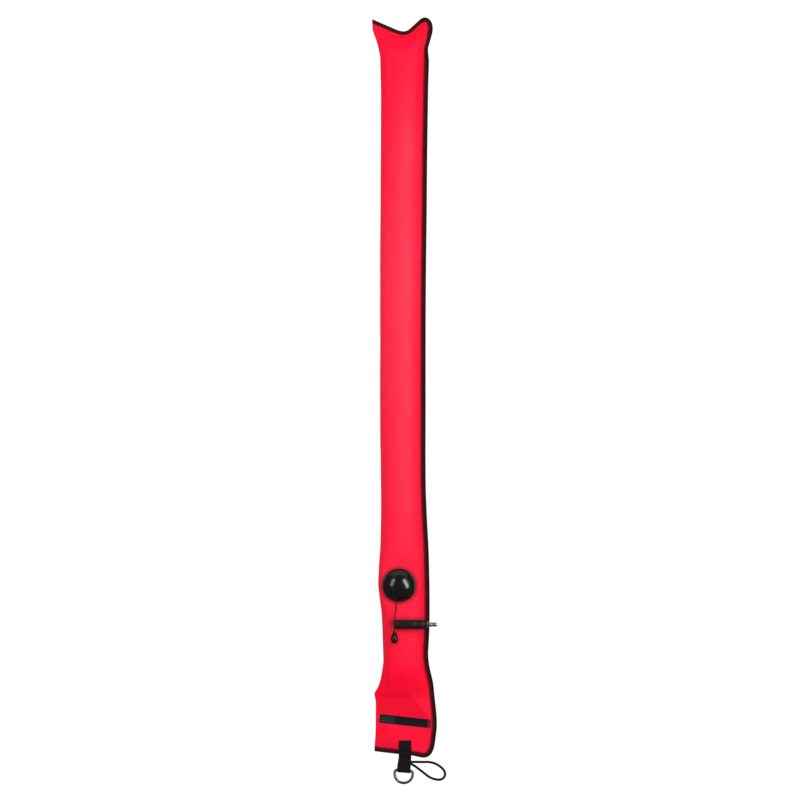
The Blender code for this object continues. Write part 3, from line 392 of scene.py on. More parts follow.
def coated_fabric():
    """Fluorescent coated nylon: a fine plain weave under a thin satin coat. Its
    colour carries painted sheen and painted shade: paler along the filled part's
    middle, deeper low down and towards the bound side."""
    f = Finish("fluorescent_coated_nylon", (0.95, 0.004, 0.03), 0.5, 0.0, 0.10)
    u, v = f.along()
    weave = f.calc("MULTIPLY", f.waves(u, 0.9 * MM), f.waves(v, 0.9 * MM))
    split = f.node("ShaderNodeSeparateXYZ")
    f.wire(f.metres(), split.inputs[0])
    drift = f.remap(f.noise(5.0, 3.0, 0.5), 0.3, 0.7, -0.004, 0.004)
    tall = f.remap(f.calc("ADD", split.outputs[2], f.calc("MULTIPLY", drift, 6.0)), 0.0, 1.6)
    ramp = f.node("ShaderNodeValToRGB")
    stops = PAINTED_SHEEN_AND_SHADE_TONES
    while len(ramp.color_ramp.elements) < len(stops):
        ramp.color_ramp.elements.new(0.5)
    for element, (z, tone) in zip(ramp.color_ramp.elements, stops):
        element.position = z / 1.6
        element.color = (*tone, 1.0)
    f.wire(tall, ramp.inputs[0])
    tone = ramp.outputs[0]
    # Painted sheen: a paler pink band down the middle of the filled part.
    middle = f.calc("ABSOLUTE", f.calc("ADD", split.outputs[0], f.calc("SUBTRACT", drift, 3.0 * MM)))
    painted_sheen = f.remap(middle, 8.0 * MM, 22.0 * MM, 1.0, 0.0)
    painted_sheen = f.calc("MULTIPLY", painted_sheen, f.remap(split.outputs[2], 0.44, 0.62))
    painted_sheen = f.calc("MULTIPLY", painted_sheen, f.remap(split.outputs[2], 1.30, 1.48, 1.0, 0.0))
    tone = f.mix(f.calc("MULTIPLY", painted_sheen, 0.021), tone, (0.95, 0.62, 0.66))
    # Painted shade: deeper red towards the bound right side, above the tail.
    painted_right_shade = f.remap(f.calc("ADD", split.outputs[0], drift), 14.0 * MM, 33.0 * MM, 0.0, 0.50)
    painted_right_shade = f.calc("MULTIPLY", painted_right_shade, f.remap(split.outputs[2], 0.21, 0.25))
    tone = f.mix(painted_right_shade, tone, (0.80, 0.0025, 0.034))
    # Painted light on the flat tail: the coat is paler to the right of each soft crease.
    upper = crease_side(f, split, (408.4, 692.6), (427.4, 716.5), 2.2 * MM)
    upper = f.calc("MULTIPLY", upper, f.remap(split.outputs[2], 0.178, 0.193, 1.0, 0.0))
    upper = f.calc("MULTIPLY", upper, f.remap(split.outputs[2], 0.122, 0.130))
    lower = crease_side(f, split, (386.0, 722.0), (399.0, 747.0), 4.0 * MM)
    lower = f.calc("MULTIPLY", lower, f.remap(split.outputs[2], 0.114, 0.124, 1.0, 0.0))
    tone = f.mix(f.calc("MAXIMUM", upper, lower), tone, (0.83, 0.0042, 0.036))
    shade = f.remap(f.noise(9.0, 4.0, 0.6, (1.0, 1.0, 0.35)), 0.3, 0.7, 0.0, 0.16)
    tone = f.mix(shade, tone, (0.86, 0.001, 0.02))
    thread = f.remap(weave, -1.0, 1.0, 0.0, 0.22)
    tone = f.mix(thread, tone, (0.72, 0.001, 0.016))
    # Painted shade round the valve and above the barrel.
    f.colour(f.mix(painted_shade_round_fittings(f, split), tone, (0.10, 0.012, 0.035)))
    f.roughness(f.remap(f.noise(26.0, 3.0), 0.3, 0.7, 0.46, 0.58))
    f.bump(weave, 0.035 * MM, 0.6)
    f.bump(f.noise(120.0, 4.0, 0.6), 0.16 * MM, 0.55)
    f.bump(f.noise(34.0, 3.0, 0.5, (1.0, 1.0, 0.55)), 0.5 * MM, 0.5)
    # Painted glow: a constant red emission stands in for the fluorescent dye and lifts the shade evenly.
    f.set("Emission Color", (1.0, 0.002, 0.03, 1.0))
    f.set("Emission Strength", 0.12)
    return f.material


def tape_cloth():
    """Woven binding tape, ribbed across; its inner edge carries a painted red glow from the fabric."""
    f = Finish("binding_tape_weave", (0.034, 0.009, 0.011), 0.80, 0.0, 0.06)
    u, v = f.along()
    ribs = f.calc("ABSOLUTE", f.waves(u, 1.5 * MM))
    threads = f.waves(v, 0.55 * MM)
    height = f.calc("ADD", ribs, f.calc("MULTIPLY", threads, 0.25))
    # v runs once round the folded section; its middle is inside the fold.
    # Painted glow: the inner part of the fold is tinted red, as light from the red fabric.
    inner = f.remap(f.calc("ABSOLUTE", f.calc("SUBTRACT", v, 25.4 * MM)), 14.0 * MM, 16.6 * MM, 1.0, 0.0)
    base = f.mix(f.remap(f.noise(60.0, 4.0), 0.35, 0.7), (0.024, 0.0052, 0.0070), (0.038, 0.0095, 0.0120))
    base = f.mix(inner, base, (0.150, 0.0012, 0.0070))
    # Painted glow: the lip at the inner edge is tinted brighter red.
    lip = f.remap(f.calc("ABSOLUTE", f.calc("SUBTRACT", v, 25.4 * MM)), 12.4 * MM, 13.7 * MM, 1.0, 0.0)
    base = f.mix(lip, base, (0.36, 0.010, 0.028))
    f.colour(f.mix(f.remap(ribs, 0.0, 1.0), (0.018, 0.003, 0.005), base))
    f.roughness(f.remap(f.noise(90.0), 0.3, 0.7, 0.68, 0.88))
    f.bump(height, 0.14 * MM, 0.8)
    f.bump(f.noise(400.0, 3.0), 0.08 * MM, 0.5)
    return f.material


def webbing_cloth():
    """Nylon webbing: chevrons of thick yarn in lengthwise ribs."""
    f = Finish("black_webbing_weave", (0.010, 0.008, 0.008), 0.66, 0.0, 0.13)
    u, v = f.along()
    fold = f.calc("PINGPONG", v, 2.1 * MM)
    slant = f.calc("ADD", u, f.calc("MULTIPLY", fold, 1.1))
    yarn = f.waves(slant, 1.25 * MM)
    rib = f.remap(fold, 0.0, 0.5 * MM)
    height = f.calc("ADD", f.calc("MULTIPLY", yarn, 0.5), f.calc("MULTIPLY", rib, 0.7))
    f.colour(
        f.mix(
            f.remap(height, -0.4, 1.1),
            (0.0030, 0.0022, 0.0024),
            f.mix(f.remap(f.noise(70.0, 4.0), 0.35, 0.7), (0.0062, 0.0040, 0.0045), (0.0115, 0.0082, 0.0088)),
        )
    )
    f.roughness(f.remap(f.noise(120.0), 0.3, 0.7, 0.58, 0.78))
    f.bump(height, 0.22 * MM, 0.9)
    f.bump(f.noise(700.0, 3.0), 0.05 * MM, 0.5)
    f.set("Sheen Weight", 0.02)
    return f.material


def thread_cloth(name, colour):
    f = Finish(name, colour, 0.6, 0.0, 0.35)
    f.colour(vary(f, 500.0, 0.35))
    f.bump(f.noise(1800.0, 2.0, 0.5, (1.0, 1.0, 1.0)), 0.05 * MM, 0.7)
    return f.material


def braided_cloth(name, colour, pitch, strands, depth, shine=0.35):
    """A braided sheath: crossing spirals; across runs once round in metres."""
    f = Finish(name, colour, 0.6, 0.0, shine)
    u, v = f.along()
    around = f.calc("MULTIPLY", v, strands * 2 * math.pi)
    run = f.calc("MULTIPLY", u, 2 * math.pi / pitch)
    one = f.calc("SINE", f.calc("ADD", run, around))
    two = f.calc("SINE", f.calc("SUBTRACT", run, around))
    height = f.calc("MAXIMUM", one, two)
    dark = tuple(c * 0.35 for c in colour)
    light = tuple(min(1.0, c * 1.7) for c in colour)
    f.colour(f.mix(f.remap(height, -0.2, 1.0), dark, f.mix(f.remap(f.noise(300.0), 0.3, 0.7), colour, light)))
    f.roughness(f.remap(f.noise(200.0), 0.3, 0.7, 0.5, 0.7))
    f.bump(height, depth, 0.8)
    return f.material


def moulded(name, colour, roughness, specular=0.5, grain=900.0, relief=0.02 * MM, coat=0.0, wear=0.25):
    """Moulded plastic or rubber: fine grain, faint flow marks, rubbed edges."""
    f = Finish(name, colour, roughness, 0.0, specular)
    r, g, b = colour
    tone = vary(f, 55.0, 0.22)
    edge = f.node("ShaderNodeNewGeometry").outputs["Pointiness"]
    rub = f.calc("MULTIPLY", f.remap(edge, 0.52, 0.60), f.remap(f.noise(160.0, 4.0), 0.4, 0.65))
    worn = tuple(min(1.0, c * 2.2 + 0.02) for c in colour)
    f.colour(f.mix(f.calc("MULTIPLY", rub, wear), tone, worn))
    spread = min(0.12, roughness * 0.35)
    f.roughness(f.remap(f.noise(75.0, 4.0), 0.3, 0.7, roughness - spread, roughness + spread))
    f.bump(f.noise(grain, 3.0), relief, 0.6)
    if coat:
        f.set("Coat Weight", coat)
        f.set("Coat Roughness", 0.05)
    return f.material


def metal(name, colour, roughness, brushed=(1.0, 1.0, 1.0), scale=420.0, stain=(0.30, 0.26, 0.24)):
    """Plated or stainless metal: fine turning marks, dulled patches, small scratches."""
    f = Finish(name, colour, roughness, 1.0, 0.5)
    marks = f.noise(scale, 4.0, 0.6, brushed)
    dull = f.remap(f.noise(70.0, 5.0, 0.65), 0.48, 0.75)
    light = tuple(min(1.0, c * 1.08) for c in colour)
    f.colour(f.mix(f.calc("MULTIPLY", dull, 0.5), f.mix(f.remap(marks, 0.3, 0.7), colour, light), stain))
    f.roughness(f.calc("ADD", f.remap(marks, 0.3, 0.7, roughness * 0.7, roughness * 1.35), f.calc("MULTIPLY", dull, 0.12)))
    f.bump(marks, 0.02 * MM, 0.5)
    return f.material


FABRIC = coated_fabric()
TAPE = tape_cloth()
WEBBING = webbing_cloth()
THREAD = thread_cloth("binding_thread", (0.022, 0.018, 0.018))
ELASTIC = braided_cloth("elastic_sheath", (0.0040, 0.0030, 0.0035), 3.2 * MM, 6.0, 0.16 * MM, 0.16)
LINE = braided_cloth("pull_line_braid", (0.13, 0.0015, 0.006), 1.6 * MM, 4.0, 0.08 * MM, 0.12)
KNOT = thread_cloth("knot_fibre", (0.22, 0.008, 0.02))
DOME = moulded("gloss_black_dome", (0.0022, 0.0016, 0.0016), 0.20, 0.9, 500.0, 0.006 * MM, 0.0, 0.10)
BEAD = moulded("gloss_black_bead", (0.034, 0.0012, 0.0010), 0.17, 0.38, 500.0, 0.008 * MM, 0.0, 0.15)
NYLON = moulded("black_nylon_moulding", (0.018, 0.018, 0.019), 0.45)
RUBBER = moulded("black_rubber_barrel", (0.0090, 0.0064, 0.0060), 0.38, 0.42, 700.0, 0.03 * MM, 0.0, 0.15)
SEAL = moulded("seal_rubber_soft", (0.022, 0.022, 0.022), 0.55, 0.35, 600.0, 0.03 * MM)
FILM = moulded("welded_film_red", (0.72, 0.03, 0.045), 0.38, 0.5, 500.0, 0.02 * MM)
STEEL = metal("polished_stainless", (0.27, 0.24, 0.245), 0.30, (1.0, 1.0, 1.0), 160.0, (0.16, 0.13, 0.13))
PLATED = metal("plated_nipple", (0.50, 0.42, 0.44), 0.30, (9.0, 1.0, 1.0), 500.0, (0.24, 0.19, 0.20))
BRASS = metal("plated_brass_insert", (0.62, 0.52, 0.33), 0.28, (8.0, 1.0, 1.0), 400.0)
WIRE = metal("spring_wire", (0.55, 0.55, 0.56), 0.22, (1.0, 1.0, 1.0), 800.0)
CRIMP = metal("crimped_ferrule", (0.42, 0.42, 0.43), 0.35, (1.0, 6.0, 1.0), 500.0)


def label_rubber():
    """A pressed rubber strip, left blank: matt field with a faint leather grain and a
    deep teal panel at one end."""
    f = Finish("blank_label_rubber", (0.010, 0.009, 0.011), 0.52, 0.0, 0.25)
    u, v = f.along()
    panel = f.calc("MULTIPLY", f.remap(u, 31.5 * MM, 32.5 * MM, 1.0, 0.0), f.remap(u, 3.0 * MM, 4.0 * MM))
    panel = f.calc("MULTIPLY", panel, f.remap(v, 2.4 * MM, 3.0 * MM))
    panel = f.calc("MULTIPLY", panel, f.remap(v, 14.6 * MM, 15.2 * MM, 1.0, 0.0))
    field = f.mix(f.remap(f.noise(80.0, 4.0), 0.35, 0.7), (0.0045, 0.0030, 0.0042), (0.0095, 0.0065, 0.0085))
    tint = f.mix(panel, field, (0.0065, 0.022, 0.032))
    # Painted shade: the strip's last few mm are dark red, standing in for shade on the fabric at its end.
    f.colour(f.mix(f.remap(u, 97.0 * MM, 102.5 * MM), tint, (0.22, 0.0012, 0.018)))
    f.roughness(f.remap(f.noise(110.0), 0.3, 0.7, 0.44, 0.60))
    f.bump(f.noise(1300.0, 2.0), 0.05 * MM, 0.7)
    return f.material


LABEL = label_rubber()

# ------------------------------------------------------------------ mesh helpers


def link(name, mesh, mat, smooth_deg=None):
    obj = bpy.data.objects.new(name, mesh)
    bpy.context.scene.collection.objects.link(obj)
    mesh.materials.append(mat)
    mesh.shade_smooth()
    if smooth_deg:
        mesh.set_sharp_from_angle(angle=math.radians(smooth_deg))
    return obj


def grid_mesh(name, rings, uv_rings, close_across=False, close_along=False, caps=False):
    """Rings of points joined into a skin. uv_rings holds a (u, v) per point, with one
    more per ring where the ring closes on itself."""
    bm = bmesh.new()
    layer = bm.loops.layers.uv.new("along")
    verts = [[bm.verts.new(p) for p in ring] for ring in rings]
    n = len(rings[0])
    steps = n if close_across else n - 1
    spans = len(rings) if close_along else len(rings) - 1
    for i in range(spans):
        a, b = verts[i], verts[(i + 1) % len(rings)]
        ua = uv_rings[i]
        ub = uv_rings[i + 1] if i + 1 < len(uv_rings) else uv_rings[i]
        for k in range(steps):
            m = (k + 1) % n
            corners = [(a[k], ua[k]), (a[m], ua[k + 1]), (b[m], ub[k + 1]), (b[k], ub[k])]
            kept = []
            for v, uv in corners:
                if v not in [x[0] for x in kept]:
                    kept.append((v, uv))
            face = bm.faces.new([v for v, _ in kept])
            for loop, (_, uv) in zip(face.loops, kept):
                loop[layer].uv = uv
    if caps:
        for ring, uv in ((verts[0], uv_rings[0]), (verts[-1], uv_rings[-1])):
            face = bm.faces.new(ring)
            for loop, c in zip(face.loops, uv):
                loop[layer].uv = c
    bmesh.ops.recalc_face_normals(bm, faces=bm.faces[:])
    mesh = bpy.data.meshes.new(name)
    bm.to_mesh(mesh)
    bm.free()
    return mesh


def lathe(name, profile, place, mat, segments=96, ring=False, smooth_deg=35.0):
    """A profile of (radius, height) in mm, turned round the local Z axis of place."""
    pts = [(r * MM, h * MM) for r, h in profile]
    if ring:
        pts = pts + [pts[0]]
    run = [0.0]
    for (r0, h0), (r1, h1) in zip(pts, pts[1:]):
        run.append(run[-1] + math.hypot(r1 - r0, h1 - h0))
    bm = bmesh.new()
    layer = bm.loops.layers.uv.new("along")
    columns = []
    for k in range(segments):
        a = 2 * math.pi * k / segments
        columns.append([Vector((r * math.cos(a), r * math.sin(a), h)) for r, h in pts])
    made = {}

    def vert(k, i):
        r, h = pts[i]
        if ring and i == len(pts) - 1:
            i = 0
        key = (0 if r < 1e-9 else k % segments, i)
        if key not in made:
            made[key] = bm.verts.new(place @ columns[key[0]][i])
        return made[key]

    widest = max(r for r, _ in pts)
    for k in range(segments):
        for i in range(len(pts) - 1):
            corners = [(k, i), (k + 1, i), (k + 1, i + 1), (k, i + 1)]
            kept = []
            for kk, ii in corners:
                v = vert(kk, ii)
                if v not in [x[0] for x in kept]:
                    kept.append((v, (run[ii], widest * 2 * math.pi * kk / segments)))
            if len(kept) > 2:
                face = bm.faces.new([v for v, _ in kept])
                for loop, (_, uv) in zip(face.loops, kept):
                    loop[layer].uv = uv
    bmesh.ops.recalc_face_normals(bm, faces=bm.faces[:])
    mesh = bpy.data.meshes.new(name)
    bm.to_mesh(mesh)
    bm.free()
    return link(name, mesh, mat, smooth_deg)


def frames_along(points, closed=False):
    """A steady pair of side directions at each point of a curve."""
    n = len(points)
    tangents = []
    for i in range(n):
        a = points[(i - 1) % n] if closed else points[max(i - 1, 0)]
        b = points[(i + 1) % n] if closed else points[min(i + 1, n - 1)]
        tangents.append((b - a).normalized())
    side = tangents[0].orthogonal().normalized()
    out = []
    for t in tangents:
        side = (side - t * side.dot(t)).normalized()
        out.append((side.copy(), t.cross(side).normalized()))
    return out


def tube(name, points, radius, mat, sides=20, closed=False, round_ends=False):
    """A round cord along a curve, with its (along, turn) as coordinates."""
    pts = [Vector(p) for p in points]
    sized = [(p, radius) for p in pts]
    if round_ends:
        head = (pts[0] - pts[1]).normalized()
        tail = (pts[-1] - pts[-2]).normalized()
        front = [
            (pts[0] + head * radius * math.sin(a), radius * math.cos(a))
            for a in (1.45, 1.1, 0.7, 0.35)
        ]
        back = [
            (pts[-1] + tail * radius * math.sin(a), radius * math.cos(a))
            for a in (0.35, 0.7, 1.1, 1.45)
        ]
        sized = front + sized + back
    sides_at = frames_along([p for p, _ in sized], closed)
    rings, uvs, run = [], [], 0.0
    for i, ((p, r), (s, t)) in enumerate(zip(sized, sides_at)):
        if i:
            run += (p - sized[i - 1][0]).length
        rings.append(
            [
                p + (s * math.cos(a) + t * math.sin(a)) * r
                for a in (2 * math.pi * k / sides for k in range(sides))
            ]
        )
        uvs.append([(run, k / sides) for k in range(sides + 1)])
    if closed:
        run += (sized[0][0] - sized[-1][0]).length
        uvs.append([(run, k / sides) for k in range(sides + 1)])
    mesh = grid_mesh(name, rings, uvs, close_across=True, close_along=closed, caps=not closed)
    return link(name, mesh, mat)


def stitches(name, places, mat, radius=0.3 * MM, span=2.3 * MM, sink=0.12 * MM):
    """Short rounded stitches. Each place is (centre, direction along, outward)."""
    bm = bmesh.new()
    for centre_at, direction, out in places:
        side = direction.cross(out).normalized()
        rings = []
        for f, r in ((-0.5, 0.35), (-0.42, 0.8), (-0.2, 1.0), (0.2, 1.0), (0.42, 0.8), (0.5, 0.35)):
            lift = radius * (0.55 - 2.2 * abs(f) ** 2.2) - sink * 0
            c = centre_at + direction * (span * f) + out * lift
            rings.append(
                [
                    bm.verts.new(
                        c + (side * math.cos(a) + out * math.sin(a)) * radius * r
                    )
                    for a in (2 * math.pi * k / 6 for k in range(6))
                ]
            )
        for a, b in zip(rings, rings[1:]):
            for k in range(6):
                m = (k + 1) % 6
                bm.faces.new((a[k], a[m], b[m], b[k]))
        bm.faces.new(rings[0])
        bm.faces.new(rings[-1])
    bmesh.ops.recalc_face_normals(bm, faces=bm.faces[:])
    mesh = bpy.data.meshes.new(name)
    bm.to_mesh(mesh)
    bm.free()
    return link(name, mesh, mat)


# ------------------------------------------------------------------ cords
valve_place = Matrix.Translation(at(VALVE_X, VALVE_Y)) @ Matrix.Rotation(math.pi / 2, 4, "X")

CORD_ROUTE = [
    (396.80, 596.0, 27.0), (396.73, 597.0, 26.0), (396.68, 598.0, 25.76), (396.52, 601.4, 27.0),
    (396.32, 604.5, 28.13), (395.88, 609.0, 29.76), (395.25, 614.0, 31.58),
    (394.55, 618.5, 33.21), (394.33, 621.5, 34.30), (394.27, 625.0, 35.57), (394.4, 629.2, 37.1),
]  # fmt: skip
pull_route = spaced(
    through([at(x, y) + Vector((0.0, -h * MM, 0.0)) for x, y, h in CORD_ROUTE], 8), 2.0 * MM
)
pull_cord = tube("pull_cord_line", pull_route, PULL_CORD_R, LINE, 14)
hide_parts("pull_cord")

BEAD_HEIGHT, BEAD_R = 28.1, 7.5
bead_top = at(394.4, 629.3) + Vector((0.0, -37.1 * MM, 0.0))
bead_profile = [(1.15, -1.2), (1.15, 0.0), (1.3, 0.25), (1.65, 0.2), (1.9, -0.15)]
for k in range(1, 15):
    t = k / 15
    r = 1.9 + (BEAD_R - 1.9) * (t * t * (3 - 2 * t)) ** 0.85
    bead_profile.append((r, -t * (BEAD_HEIGHT - 9.6)))
for k in range(0, 16):
    a = math.radians(90 * k / 16)
    bead_profile.append((BEAD_R * math.cos(a), -(BEAD_HEIGHT - 9.6) - 9.6 * math.sin(a)))
bead_profile.append((0.0, -BEAD_HEIGHT))
bead_profile.insert(0, (0.0, -1.2))
pull_bead = lathe("pull_bead_moulding", bead_profile, Matrix.Translation(bead_top), BEAD, 64, smooth_deg=45.0)
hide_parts("pull_bead")
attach(pull_bead, "pull")
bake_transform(pull_cord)

BUNGEE_ROUTE = [
    (407.6, 761.95, 0.0), (411.0, 761.95, 0.0), (416.5, 761.95, 0.3), (423.0, 761.95, 0.8),
    (429.5, 762.1, 1.2), (435.0, 763.5, 1.2), (440.6, 766.9, 0.9), (444.1, 770.6, 0.4),
    (445.1, 774.4, 0.0), (443.5, 777.9, -0.4), (440.0, 779.65, -0.8), (434.6, 779.15, -1.2),
    (429.3, 777.0, -1.2), (424.7, 773.6, -0.9), (420.1, 770.0, -0.6), (415.8, 766.7, -0.2),
    (412.8, 764.8, 0.0), (410.6, 764.05, 0.0), (407.6, 763.9, 0.0),
]  # fmt: skip
bungee_route = spaced(
    through([at(x, y) + Vector((0.0, -f * MM, 0.0)) for x, y, f in BUNGEE_ROUTE], 10), 2.0 * MM
)
bungee = tube("elastic_loop", bungee_route, BUNGEE_R, ELASTIC, 20)
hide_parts("bungee_loop")
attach(bungee, "tab")

# ------------------------------------------------------------------ the sleeve's grid
PHI = [math.pi * j / COLUMNS for j in range(COLUMNS + 1)]
ACROSS = [(1 - math.cos(p)) / 2 for p in PHI]

ear_points = [(p.x, p.y) for p in spaced(through(EAR, 16), 1.9)]
ear_rows = len(ear_points)
rows = []
for a, b in zip(KEY_ROWS, KEY_ROWS[1:]):
    steps = max(1, round((b - a) / ROW_STEP))
    rows += [a + (b - a) * k / steps for k in range(1, steps + 1)]
rows = rows[:-1]
right_points = list(ear_points)
for y in rows:
    lean = 7.9 * min(max((y - 694.0) / 52.0, 0.0), 1.0)
    right_points.append((value_at(RIGHT, y + lean), y + lean))
right_points.append(RIGHT[-1])
row_count = len(right_points)
left_points = []
for i in range(ear_rows):
    y = LEFT[0][1] + (60.5 - LEFT[0][1]) * i / (ear_rows - 1)
    left_points.append((value_at(LEFT, y), y))
for y in rows:
    left_points.append((value_at(LEFT, y), y))
left_points.append(LEFT[-1])
top_points = at_fractions(TOP, ACROSS)
bottom_points = at_fractions(BOTTOM, ACROSS)
edge_path = top_points + right_points[1:] + list(reversed(bottom_points[:-1]))


class Station:
    """A place on the bound edge: its outermost point and the way inwards."""

    def __init__(self, index):
        x, y = edge_path[index]
        last = len(edge_path) - 1
        a = Vector(edge_path[max(index - 1, 0)])
        b = Vector(edge_path[min(index + 1, last)])
        t = (b - a).normalized()
        inward = Vector((-t.y, t.x))
        if index == 0:
            inward = Vector((0.0, 1.0)) / abs(inward.y)
        elif index == last:
            inward = Vector((0.0, -1.0)) / abs(inward.y)
        self.inward = Vector((inward.x, 0.0, -inward.y))
        self.edge = at(x, y)

    def point(self, inwards, forwards):
        return self.edge + self.inward * inwards + Vector((0.0, -forwards, 0.0))


stations = [Station(i) for i in range(len(edge_path))]
# The inward direction turns smoothly from one station to the next.
for _ in range(4):
    turned = [s.inward.copy() for s in stations]
    for i in range(2, len(stations) - 2):
        mean = turned[i - 1] + turned[i] * 2 + turned[i + 1]
        stations[i].inward = mean.normalized()
# Next to the tape's first end, inwards leans so that nothing passes the sleeve's left
# outline.
first = stations[0].edge
for s in stations[:COLUMNS]:
    lean_over = -s.inward.x * FIN
    reach_x = 3 * lean_over
    gone = s.edge.x - first.x
    if lean_over > 0 and gone < reach_x:
        k = stations.index(s)
        t = (stations[k + 1].edge - s.edge).normalized()
        want = first.x + gone * (1 - lean_over / reach_x)
        s.inward = s.inward + t * ((want - s.edge.x - s.inward.x * FIN) / (FIN * t.x))
edge_run = [0.0]
for a, b in zip(stations, stations[1:]):
    edge_run.append(edge_run[-1] + (b.edge - a.edge).length)
top_stations = stations[: COLUMNS + 1]
right_stations = stations[COLUMNS : COLUMNS + row_count]
bottom_stations = list(reversed(stations[COLUMNS + row_count - 1 :]))


def half_depth(half_width):
    """Half depth of an ellipse of that half width and the sleeve's own girth."""
    if 4 * half_width >= FLAT_GIRTH:
        return 0.0
    low, high = 0.0, half_width
    for _ in range(40):
        b = (low + high) / 2
        a = half_width
        girth = math.pi * (3 * (a + b) - math.sqrt((3 * a + b) * (a + 3 * b)))
        if girth < FLAT_GIRTH:
            low = b
        else:
            high = b
    return (low + high) / 2


def pillow(distance, reach, depth):
    t = np.clip(distance / reach, 0.0, 1.0)
    return depth * np.sqrt(np.maximum(0.0, 1 - (1 - t) ** 2))


row_y = np.array([p[1] for p in left_points])
top_in = [s.point(FIN, 0.0) for s in top_stations]
bottom_in = [s.point(FIN, 0.0) for s in bottom_stations]
right_in = [s.point(FIN, 0.0) for s in right_stations]
middle = np.zeros((row_count, COLUMNS + 1, 3))
depths = np.zeros(row_count)
for i in range(row_count):
    left, right = at(*left_points[i]), right_in[i]
    if i == 0:
        left = top_in[0]
    if i == row_count - 1:
        left = bottom_in[0]
    f_top = min(max(1 - (row_y[i] - row_y[0]) / 42.0, 0.0), 1.0) ** 1.5
    f_bottom = min(max((row_y[i] - 694.0) / (746.6 - 694.0), 0.0), 1.0) ** 1.3
    for j, f in enumerate(ACROSS):
        p = left.lerp(right, f)
        p += (top_in[j] - top_in[0].lerp(top_in[-1], f)) * f_top
        p += (bottom_in[j] - bottom_in[0].lerp(bottom_in[-1], f)) * f_bottom
        middle[i, j] = (p.x, 0.0, p.z)
    mid = Vector(middle[i, COLUMNS // 2])
    from_top = (top_in[COLUMNS // 2] - mid).length
    from_weld = max((WELD_Y - row_y[i]) * U, 0.0)
    depths[i] = min(
        half_depth((right.x - left.x) / 2),
        float(pillow(from_top, 74 * MM, 30 * MM)),
        float(pillow(from_weld, 95 * MM, 31 * MM)),
    )
# The depth changes gently from row to row.
for _ in range(12):
    depths[1:-1] = depths[1:-1] * 0.5 + (depths[:-2] + depths[2:]) * 0.25
depths[row_y > WELD_Y] = 0.0

edge_xz = np.array([[s.edge.x, s.edge.z] for s in stations])


def nearest_edge(points):
    """For each (x, z): its distance to the bound edge, that place and its run."""
    best = np.full(len(points), 1e9)
    place = np.zeros((len(points), 2))
    run = np.zeros(len(points))
    for k in range(len(edge_xz) - 1):
        a, d = edge_xz[k], edge_xz[k + 1] - edge_xz[k]
        t = np.clip(((points - a) @ d) / (d @ d), 0.0, 1.0)
        q = a + t[:, None] * d
        dist = np.linalg.norm(points - q, axis=1)
        closer = dist < best
        best[closer], place[closer] = dist[closer], q[closer]
        run[closer] = edge_run[k] + t[closer] * (edge_run[k + 1] - edge_run[k])
    return best, place, run


inside = middle[1:-1, 1:-1][:, :, [0, 2]].reshape(-1, 2)
dist, place, _ = nearest_edge(inside)
short = dist < FIN + 2.5 * MM
away = inside - place
away /= np.maximum(np.linalg.norm(away, axis=1), 1e-9)[:, None]
inside[short] = place[short] + away[short] * (FIN + 2.5 * MM)
for k, (x, z) in enumerate(inside):
    column = k % (COLUMNS - 1) + 1
    outline = at(value_at(LEFT, ORIGIN_Y - z / U), 0.0).x
    inside[k, 0] = max(x, outline + 0.12 * MM * column)
middle[1:-1, 1:-1, 0] = inside[:, 0].reshape(row_count - 2, -1)
middle[1:-1, 1:-1, 2] = inside[:, 1].reshape(row_count - 2, -1)
flat_points = middle[:, :, [0, 2]].reshape(-1, 2)
margin, _, margin_run = nearest_edge(flat_points)
margin = margin.reshape(row_count, COLUMNS + 1) - FIN
margin_run = margin_run.reshape(row_count, COLUMNS + 1)

sine = np.sin(np.array(PHI))[None, :]
height = PLY + np.minimum(depths[:, None] * sine, pillow(margin - 0.5 * MM, 42 * MM, 32 * MM))
x_mm, z_mm = middle[:, :, 0] / MM, middle[:, :, 2] / MM
px = ORIGIN_X + middle[:, :, 0] / U
py = ORIGIN_Y - middle[:, :, 2] / U
from_left = (middle[:, :, 0] - middle[:, :1, 0]) / MM
from_right = (middle[:, -1:, 0] - middle[:, :, 0]) / MM

# Front wall: a flat land under the valve, and the dent under the inflator's barrel.
front = height.copy()
v0 = at(VALVE_X, VALVE_Y) / MM
r = np.hypot(x_mm - v0.x, z_mm - v0.z)
w = 1 - smooth((r - 34.5) / np.where(np.abs(z_mm - v0.z) > 30, 30.0, 26.0))
edge_room = np.minimum(from_left, from_right)
e = np.sqrt(np.maximum(0.0, 1 - (1 - np.clip(edge_room / 8.4, 0, 1)) ** 2))
front += (VALVE_LAND - front) * w * e
off = np.abs(py - INFLATOR_Y)
pressed = np.minimum(front, PORT_LAND + 0.5 * MM)
front += (pressed - front) * (1 - smooth((off - 8.0) / 12.0))
back = height.copy()


# Wrinkles of a filled sleeve. Each field is in mm, over places in mm.
def field(x, z, sx, sz, seed, turn=0.0):
    c, s = math.cos(turn), math.sin(turn)
    flat = np.stack([(x * c + z * s) / sx, (z * c - x * s) / sz], axis=-1).reshape(-1, 2)
    values = [noise.noise(Vector((p[0], p[1], seed))) for p in flat]
    return np.array(values).reshape(x.shape)


def ridges(x, z, sx, sz, seed, turn=0.0):
    """Narrow crests with broad hollows between them."""
    return 1 - 2 * np.sqrt(np.abs(field(x, z, sx, sz, seed, turn)) + 0.01)


def segment_distance(a, b):
    """Distance from a line on the drawing, and how far along it, in mm."""
    a, b = np.array(a, float), np.array(b, float)
    d = b - a
    t = ((px - a[0]) * d[0] + (py - a[1]) * d[1]) / (d @ d)
    tc = np.clip(t, 0, 1)
    gap = np.hypot(px - a[0] - d[0] * tc, py - a[1] - d[1] * tc) * U / MM
    return gap, t


air = smooth(depths / (18 * MM))[:, None] * np.ones_like(px)  # how full each row is
clear_valve = smooth((r - 36.0) / 22.0)


